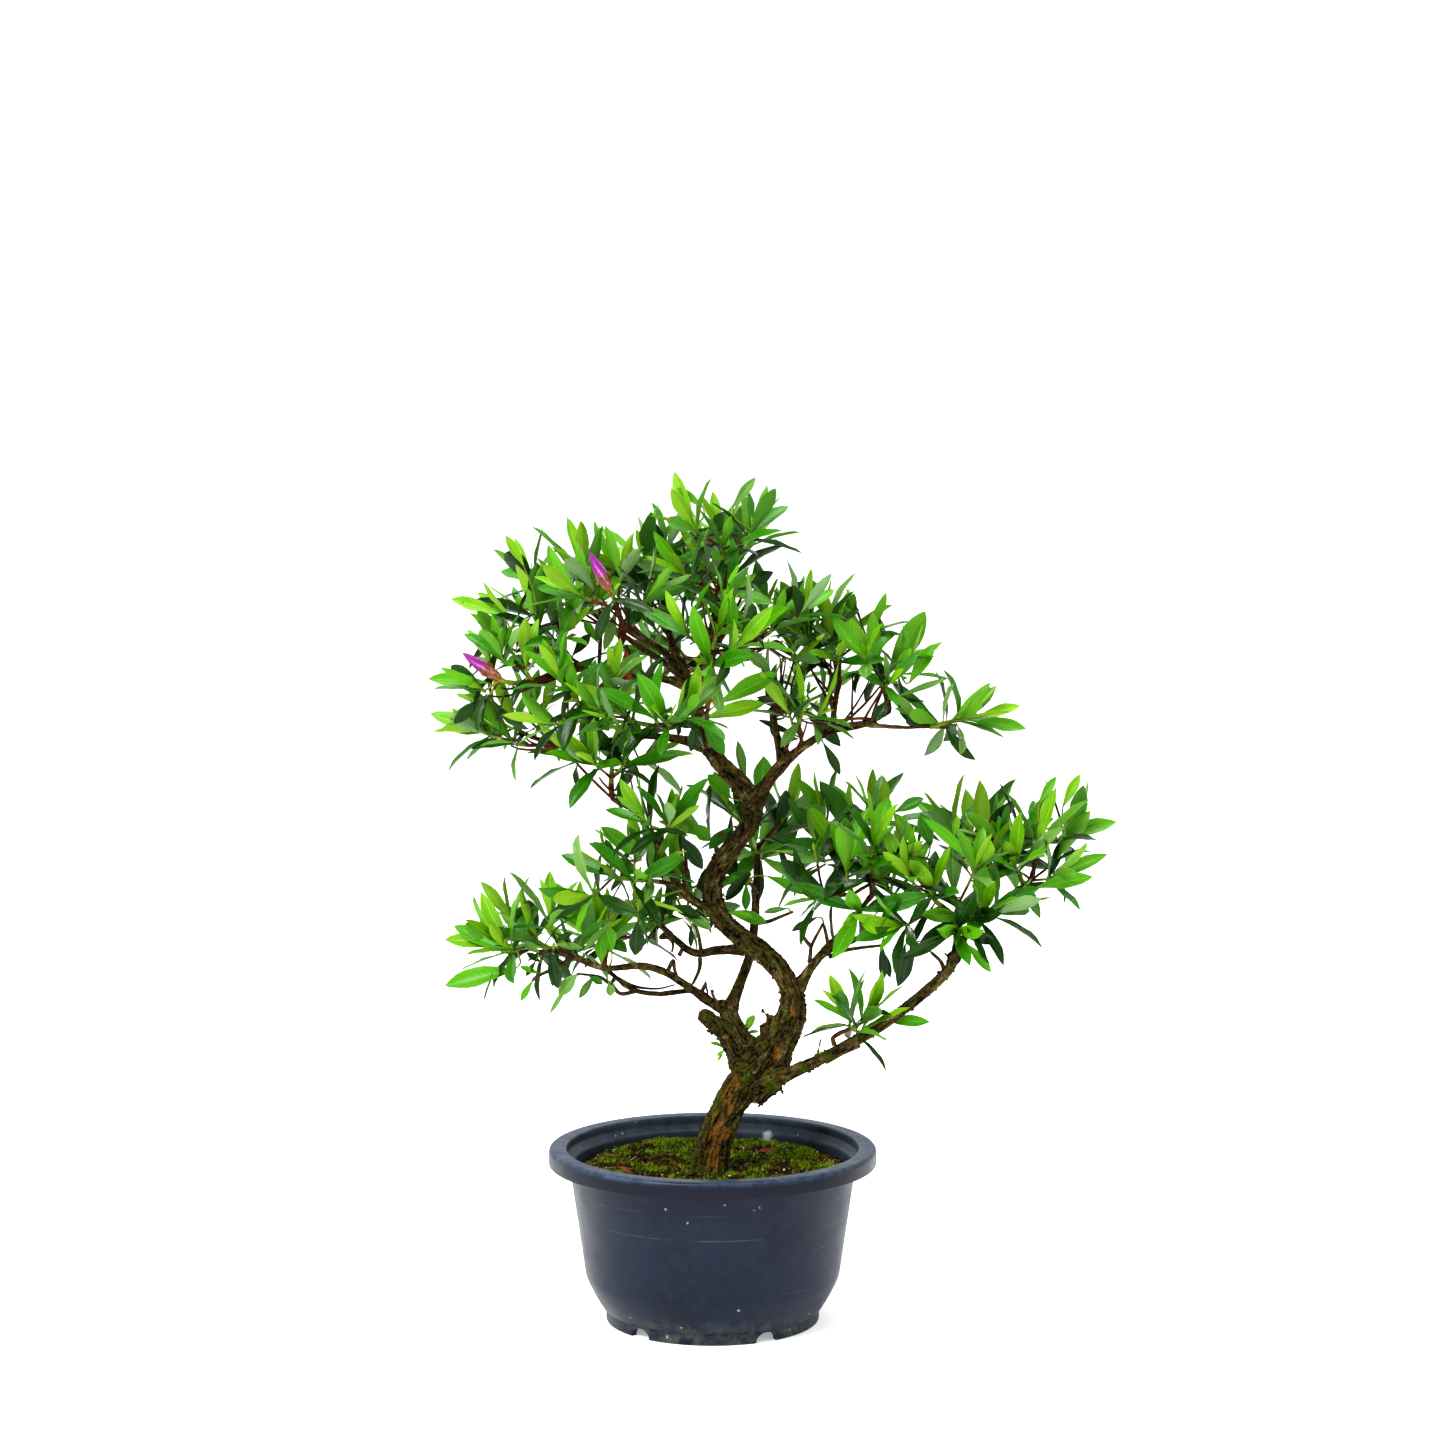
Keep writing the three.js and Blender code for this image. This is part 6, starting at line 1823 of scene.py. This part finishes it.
def leaf_material(name, blade, vein, under, roughness):
    # An azalea leaf: thin waxy blade, glossy when old, with a sunken pale midrib and side veins, and a
    # paler matt underside with fine hairs
    material, tree, shader = new_material(name, IOR=1.45, Specular_IOR_Level=0.24)
    uv = add_node(tree, "ShaderNodeUVMap", uv_map="blade")
    u, v, _ = add_node(tree, "ShaderNodeSeparateXYZ", uv).outputs
    below = add_node(tree, "ShaderNodeMath", u, 1.0, operation="GREATER_THAN")
    cell = add_node(tree, "ShaderNodeMath", u, operation="FRACT")
    off = add_node(tree, "ShaderNodeMath", cell, 0.5, operation="SUBTRACT")
    off = add_node(tree, "ShaderNodeMath", off, operation="ABSOLUTE")
    rib = add_node(tree, "ShaderNodeMapRange", off, 0.045, 0.01, 0.0, 0.55)
    # Side veins run out and forwards about 2 mm apart
    veins = add_node(tree, "ShaderNodeMath", off, -0.34, v, operation="MULTIPLY_ADD")
    veins = add_node(tree, "ShaderNodeMath", veins, 66.0, operation="MULTIPLY")
    veins = add_node(tree, "ShaderNodeMath", veins, operation="SINE")
    fine = add_node(tree, "ShaderNodeMapRange", veins, 0.7, 1.0, 0.0, 0.16)
    place = add_node(tree, "ShaderNodeTexCoord").outputs["Object"]
    wander = add_node(tree, "ShaderNodeTexNoise", place, 95.0, 4.0, 0.6)
    tone = add_node(tree, "ShaderNodeAttribute", attribute_name="tone").outputs["Fac"]
    mixed = add_node(tree, "ShaderNodeMath", wander, 0.9, -0.45, operation="MULTIPLY_ADD")
    mixed = add_node(tree, "ShaderNodeMath", mixed, tone, operation="ADD")
    colour = add_node(tree, "ShaderNodeMix", mixed, linear(blade[0]), linear(blade[1]), data_type="RGBA")
    drawn = add_node(tree, "ShaderNodeMath", rib, fine, operation="ADD")
    # The margins are painted paler: partly their own paler edge, partly a painted highlight along it
    edge = add_node(tree, "ShaderNodeMapRange", off, 0.4, 0.5, 0.0, 0.3)
    shown = add_node(tree, "ShaderNodeMath", drawn, edge, operation="ADD")
    colour = add_node(tree, "ShaderNodeMix", shown, colour, linear(vein), data_type="RGBA")
    matt = add_node(tree, "ShaderNodeMath", below, 0.55, operation="MULTIPLY")
    colour = add_node(tree, "ShaderNodeMix", matt, colour, linear(under), data_type="RGBA")
    rough = add_node(tree, "ShaderNodeMapRange", wander, 0.3, 0.7, roughness - 0.08, roughness + 0.1)
    rough = add_node(tree, "ShaderNodeMath", below, 0.25, rough, operation="MULTIPLY_ADD")
    height = add_node(tree, "ShaderNodeMath", drawn, wander, operation="ADD")
    bump = add_node(
        tree, "ShaderNodeBump", invert=True, inputs={"Strength": 0.35, "Distance": 0.0003, "Height": height}
    )
    set_inputs(tree, shader, {"Base Color": colour, "Roughness": rough, "Normal": bump})
    return material


# Leaf tones from the youngest to the oldest: two shades of the blade, veins, underside, roughness
TONES = {
    "leaves_new": (("#4c8e00", "#78a800"), "#a4c444", "#7c9e24", 0.38),
    "leaves_bright": (("#348000", "#5a9a00"), "#7cac3c", "#5c8a26", 0.32),
    "leaves_mature": (("#1c5900", "#367c00"), "#5c8a34", "#486e28", 0.26),
    # The old tone's near-black green is partly the old leaves' own deep colour and partly painted shade
    # inside the crown
    "leaves_old": (("#082000", "#1a4200"), "#3c5a2a", "#34502a", 0.18),
    # The dull tone is a painted sheen: the grey-green of leaves that reflect the bright surround, given to a
    # few leaves at random
    "leaves_dull": (("#3c6a18", "#668e3c"), "#8cac70", "#7f9c70", 0.36),
}


def tones_of(leaves):
    """Each leaf's tone, dealt out by its spray and its age on the shoot."""
    age = leaves["age"] * 0.95 + 0.42 * (leaves["spray"] - 0.5) + 0.25 * (leaves["chance"] - 0.5)
    tones = np.digitize(age, [0.16, 0.44, 0.72])
    # A few leaves at random take the dull tone, a painted sheen
    dull = (leaves["chance"] * 7.31 % 1 < 0.13) & (tones > 0)
    tones[dull] = 4
    return tones


class FoliageSettings(bpy.types.PropertyGroup):
    thickness: bpy.props.FloatProperty(
        name="Leaf thickness", description="Thickness of a leaf at its stalk, in millimetres",
        default=0.32, min=0.1,
    )
    petal: bpy.props.FloatVectorProperty(
        name="Petals", description="Colour of the flower buds", subtype="COLOR",
        default=linear("#7c1078"), min=0, max=1,
    )


class MakeTwigs(bpy.types.Operator):
    """Makes the twigs of every spray, brown below and green where they carry leaves"""

    bl_idname = "azalea.twigs"
    bl_label = "Twigs"

    def execute(self, context):
        plant, twigs, _ = grown()
        wood, green, loose = bare_twigs(plant), [], []
        for twig in twigs:
            following = random_stream(twig["seed"] + 15)
            older, younger = split_line(shoot_line(twig), GREEN_WOOD * (0.6 + 0.8 * following()))
            if len(older) > 1:
                wood.append(older)
            green.append(younger)
        for places in LOOSE_TWIGS:
            loose.append(centre_line([(*place, 1.3 - 0.17 * k) for k, place in enumerate(places)], 4))
        green += single_stalks([*plant.lines.values(), *loose, *wood, *green])
        masses = [mass["name"] for mass in MASSES]
        # Two-year wood: smooth red-brown bark, still thin enough to take a slight shine
        brown = plain_natural("Red-brown twig bark", "#26120a", "#643c1e", 160, 0.62)
        # This year's wood: soft green with a red flush and fine hairs
        soft = plain_natural("Green young wood", "#47620f", "#7f8c2a", 120, 0.55)
        # Thin bare twigs inside the plant, with the dull olive-brown bark of the boughs
        bare = plain_natural("Dull bark of bare twigs", "#140d04", "#56482a", 300, 0.9)
        finish_piece("twigs_bare", twig_mesh("twigs_bare", loose, bare), bare, masses)
        finish_piece("twigs_brown", twig_mesh("twigs_brown", wood, brown), brown, masses)
        finish_piece("twigs_green", twig_mesh("twigs_green", green, soft), soft, masses)
        return {"FINISHED"}


class MakeLeaves(bpy.types.Operator):
    """Makes every leaf of the plant, in five tones, with the young leaves in the whorls' middles"""

    bl_idname = "azalea.leaves"
    bl_label = "Leaves"

    def execute(self, context):
        settings = context.scene.azalea_foliage
        _, twigs, leaves = grown()
        masses = [mass["name"] for mass in MASSES]
        tones = tones_of(leaves)
        for number, (name, tone) in enumerate(TONES.items()):
            blade, vein, under, roughness = tone
            material = leaf_material("Azalea " + name.replace("_", " "), blade, vein, under, roughness)
            chosen = {key: value[tones == number] for key, value in leaves.items()}
            mesh = leaf_mesh(name, chosen, LEAF_ROWS, settings.thickness)
            finish_piece(name, mesh, material, masses)
            lone = [
                (root, vector(*tip) - root, float(np.linalg.norm(vector(*tip) - root)), *share)
                for root, tip, tone_name, *share in LONE_LEAVES + FILLING_LEAVES
                if "leaves_" + tone_name == name
            ]
            if lone:
                placed = placed_leaves(lone, 0.28, 0.12, 1.6)
                single = leaf_mesh(name + "_single", placed, LEAF_ROWS, LONE_THICKNESS)
                finish_piece(name + "_single", single, material, masses)
            if number == 0:
                young = leaf_mesh("leaves_opening", small_leaves(twigs), SMALL_ROWS, settings.thickness * 0.8)
                finish_piece("leaves_opening", young, material, masses)
                placed = placed_leaves(SPROUTS, 0.42, 0.4)
                sprouts = leaf_mesh("leaves_sprouting", placed, LEAF_ROWS, LONE_THICKNESS)
                finish_piece("leaves_sprouting", sprouts, material)
        # Withered leaves keep their shape and turn to a dull red-brown paper
        dead = plain_natural("Withered leaf", "#4a1c12", "#8a4a30", 140, 0.75)
        mesh = leaf_mesh("leaves_withered", placed_leaves(WITHERED, 0.3, 0.5), LEAF_ROWS, LONE_THICKNESS)
        finish_piece("leaves_withered", mesh, dead)
        return {"FINISHED"}


def bud_body(foot, axis, length, radius):
    """A closed flower bud: petals rolled round each other into a pointed, twisted spindle."""
    ring_at = round_axis(axis, 0.2, 0.9, 0.3)
    rings, sides = 34, 40
    places, folds = [], []
    for k in range(rings):
        share = 0.02 + 0.96 * k / (rings - 1)
        wide = radius * math.sin(math.pi * ((share + 0.1) / 1.13)) ** 0.85
        for j in range(sides):
            turn = 2 * math.pi * j / sides
            roll = (5 * turn / (2 * math.pi) + 1.1 * share) % 1
            lap = 1.04 - 0.2 * share * roll - 0.09 * math.exp(-(roll / 0.08) ** 2) * min(1, 2 * share)
            places.append(foot + axis * share * length + ring_at(turn) * wide * lap)
            folds.append(max(0, 1 - roll / 0.4))
    places += [foot, foot + axis * length * 1.01]
    faces = ring_faces(sides, rings, 0, len(places) - 2, len(places) - 1, turned=True)
    reach = [min(1, max(0, (place - foot).dot(axis) / length)) for place in places]
    return places, point_outwards(places, faces), reach, folds + [0, 0]


def petal_material(settings):
    # Petals still rolled up: thin soft tissue, deep magenta at the tip and pale pink at the foot
    material, tree, shader = new_material("Rolled magenta petals", Roughness=0.55, Specular_IOR_Level=0.3)
    reach = add_node(tree, "ShaderNodeAttribute", attribute_name="reach").outputs["Fac"]
    place = add_node(tree, "ShaderNodeTexCoord").outputs["Object"]
    streak = add_node(tree, "ShaderNodeTexNoise", place, 500.0, 3.0)
    share = add_node(tree, "ShaderNodeMapRange", reach, 0.3, 0.62, -0.15, 0.95)
    share = add_node(tree, "ShaderNodeMath", streak, 0.3, share, operation="MULTIPLY_ADD")
    colour = add_node(tree, "ShaderNodeMix", share, linear("#8a5440"), settings.petal, data_type="RGBA")
    # Paler beside the rolled edges, except at the tip: a painted highlight along the rolls
    fold = add_node(tree, "ShaderNodeAttribute", attribute_name="fold").outputs["Fac"]
    pale = add_node(tree, "ShaderNodeMapRange", reach, 0.88, 0.6, 0.05, 0.8)
    pale = add_node(tree, "ShaderNodeMath", pale, fold, operation="MULTIPLY")
    colour = add_node(tree, "ShaderNodeMix", pale, colour, linear("#cc84bc"), data_type="RGBA")
    set_inputs(tree, shader, {"Base Color": colour})
    return material


class MakeFlowerBuds(bpy.types.Operator):
    """Makes the two flower buds with their scales, and one leaf bud"""

    bl_idname = "azalea.buds"
    bl_label = "Flower buds"

    def execute(self, context):
        settings = context.scene.azalea_foliage
        plant, _, _ = grown()
        bodies, reach, folds, scales = [], [], [], []
        names = []
        sites = [
            (plant.middles[k], plant.stems[k]["axis"], FLOWER_LENGTH, 3.3, mass["name"])
            for k, mass in enumerate(MASSES) if mass.get("bud")
        ]
        for foot, axis, length, radius, name in sites:
            places, faces, shares, edges = bud_body(foot, axis, length, radius)
            bodies.append((places, faces))
            reach += shares
            folds += edges
            names.append(name)
        sites.append((vector(-2.7, -71, 344.6), unit(vector(0.35, -0.25, 0.9)), 10, 2.1, None))
        for foot, axis, length, radius, _ in sites:
            ring_at = round_axis(axis, 0.2, 0.9, 0.3)
            for k in range(18):
                turn, level = k * GOLDEN_ANGLE, 0.011 * k * length
                ring = ring_at(turn)
                along = unit(axis + ring * (0.3 - 0.012 * k))
                size = length * (0.24 + 0.013 * k)
                scales.append({
                    "root": foot + axis * level + ring * radius * 0.45, "along": along,
                    "face": -unit(ring - along * ring.dot(along)), "length": size, "width": size * 0.78,
                    "bend": -0.55, "age": 0.0, "chance": (k * 0.31) % 1, "spray": 0.5,
                })
        mesh = make_mesh("flower_buds", *joined(bodies))
        set_attribute(mesh, "reach", reach)
        set_attribute(mesh, "fold", folds)
        finish_piece("flower_buds", mesh, petal_material(settings), names)
        # Bud scales: papery and overlapping, orange-brown with a green base
        papery = plain_natural("Papery bud scales", "#54400c", "#a06c2c", 260, 0.6)
        covers = leaf_mesh("bud_scales", stack(scales), LEAF_ROWS, LONE_THICKNESS)
        finish_piece("bud_scales", covers, papery)
        return {"FINISHED"}


# The stage


class StageSettings(bpy.types.PropertyGroup):
    surround: bpy.props.FloatProperty(
        name="Surround", description="Brightness of the white surround", default=1.0, min=0,
    )
    key: bpy.props.FloatProperty(
        name="Key light", description="Power of the main soft light", default=34, min=0, unit="POWER",
    )


def soft_light(name, place, target, size, power):
    light = bpy.data.lights.new(name, "AREA")
    light.shape = "SQUARE"
    light.size = size
    light.energy = power
    thing = bpy.data.objects.new(name, light)
    bpy.context.scene.collection.objects.link(thing)
    thing.location = place
    aim = np.array(target, float) - np.array(place, float)
    thing.rotation_euler = (math.atan2(math.hypot(aim[0], aim[1]), -aim[2]), 0, math.atan2(-aim[0], aim[1]))
    return thing


class MakeStage(bpy.types.Operator):
    """Makes the white floor, the surround, the soft lights and the camera"""

    bl_idname = "azalea.stage"
    bl_label = "Stage"

    def execute(self, context):
        settings = context.scene.azalea_stage
        scene = context.scene
        reach = 12000
        corners = [(-reach, -reach, 0), (reach, -reach, 0), (reach, reach, 0), (-reach, reach, 0)]
        floor = object_from("studio_floor", make_mesh("studio_floor", corners, [[0, 1, 2, 3]], smooth=False))
        # Matt white paper, so bright that only the softest shadow shows by the pot
        material, _, _ = new_material(
            "Matt white paper", Base_Color=(1, 1, 1), Roughness=1.0, Specular_IOR_Level=0.0,
            Emission_Color=(1, 1, 1), Emission_Strength=0.3,
        )
        floor.data.materials.append(material)
        floor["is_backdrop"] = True
        world = bpy.data.worlds.new("White surround")
        world.use_nodes = True
        world.node_tree.nodes.clear()
        glow = add_node(
            world.node_tree, "ShaderNodeBackground",
            inputs={"Color": (1, 1, 1), "Strength": settings.surround},
        )
        add_node(world.node_tree, "ShaderNodeOutputWorld", inputs={"Surface": glow})
        scene.world = world
        soft_light("key light", (-0.9, -1.1, 1.6), (0, 0, 0.25), 0.9, settings.key)
        soft_light("top light", (0.2, 0.3, 1.9), (0, 0, 0.25), 1.0, settings.key * 0.6)
        camera = bpy.data.cameras.new("camera")
        camera.lens = 85
        camera.sensor_width = 36
        holder = bpy.data.objects.new("camera", camera)
        scene.collection.objects.link(holder)
        holder.location = (0.0054, -1.843, 0.508)
        holder.rotation_euler = (math.radians(90 - 5.53), 0, 0)
        scene.camera = holder
        scene.view_settings.view_transform = "Standard"
        scene.view_settings.look = "Medium High Contrast"
        return {"FINISHED"}


class AzaleaPanel(bpy.types.Panel):
    """Lists the plant's pieces, in the order in which they are made"""

    bl_idname = "VIEW3D_PT_azalea"
    bl_label = "Potted azalea"
    bl_space_type = "VIEW_3D"
    bl_region_type = "UI"
    bl_category = "Azalea"

    def draw(self, context):
        for step in STEPS:
            self.layout.operator(step.bl_idname)


SETTINGS = {
    "azalea_pot": PotSettings, "azalea_soil": SoilSettings, "azalea_bark": BarkSettings,
    "azalea_foliage": FoliageSettings, "azalea_stage": StageSettings,
}
STEPS = [MakeStage, MakePot, MakeSoil, MakeBark, MakeTwigs, MakeLeaves, MakeFlowerBuds]


def register():
    for kind in [*SETTINGS.values(), *STEPS, AzaleaPanel]:
        bpy.utils.register_class(kind)
    for name, kind in SETTINGS.items():
        setattr(bpy.types.Scene, name, bpy.props.PointerProperty(type=kind))


def unregister():
    for name in SETTINGS:
        delattr(bpy.types.Scene, name)
    for kind in [AzaleaPanel, *reversed(STEPS), *SETTINGS.values()]:
        bpy.utils.unregister_class(kind)


def plain(box):
    return [[float(number) for number in corner] for corner in box]


def main():
    register()
    for step in STEPS:
        family, name = step.bl_idname.split(".")
        getattr(getattr(bpy.ops, family), name)()
    {"cad": plain(CAD_BOX), "visual": plain(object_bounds())}


if __name__ == "__main__":
    main()
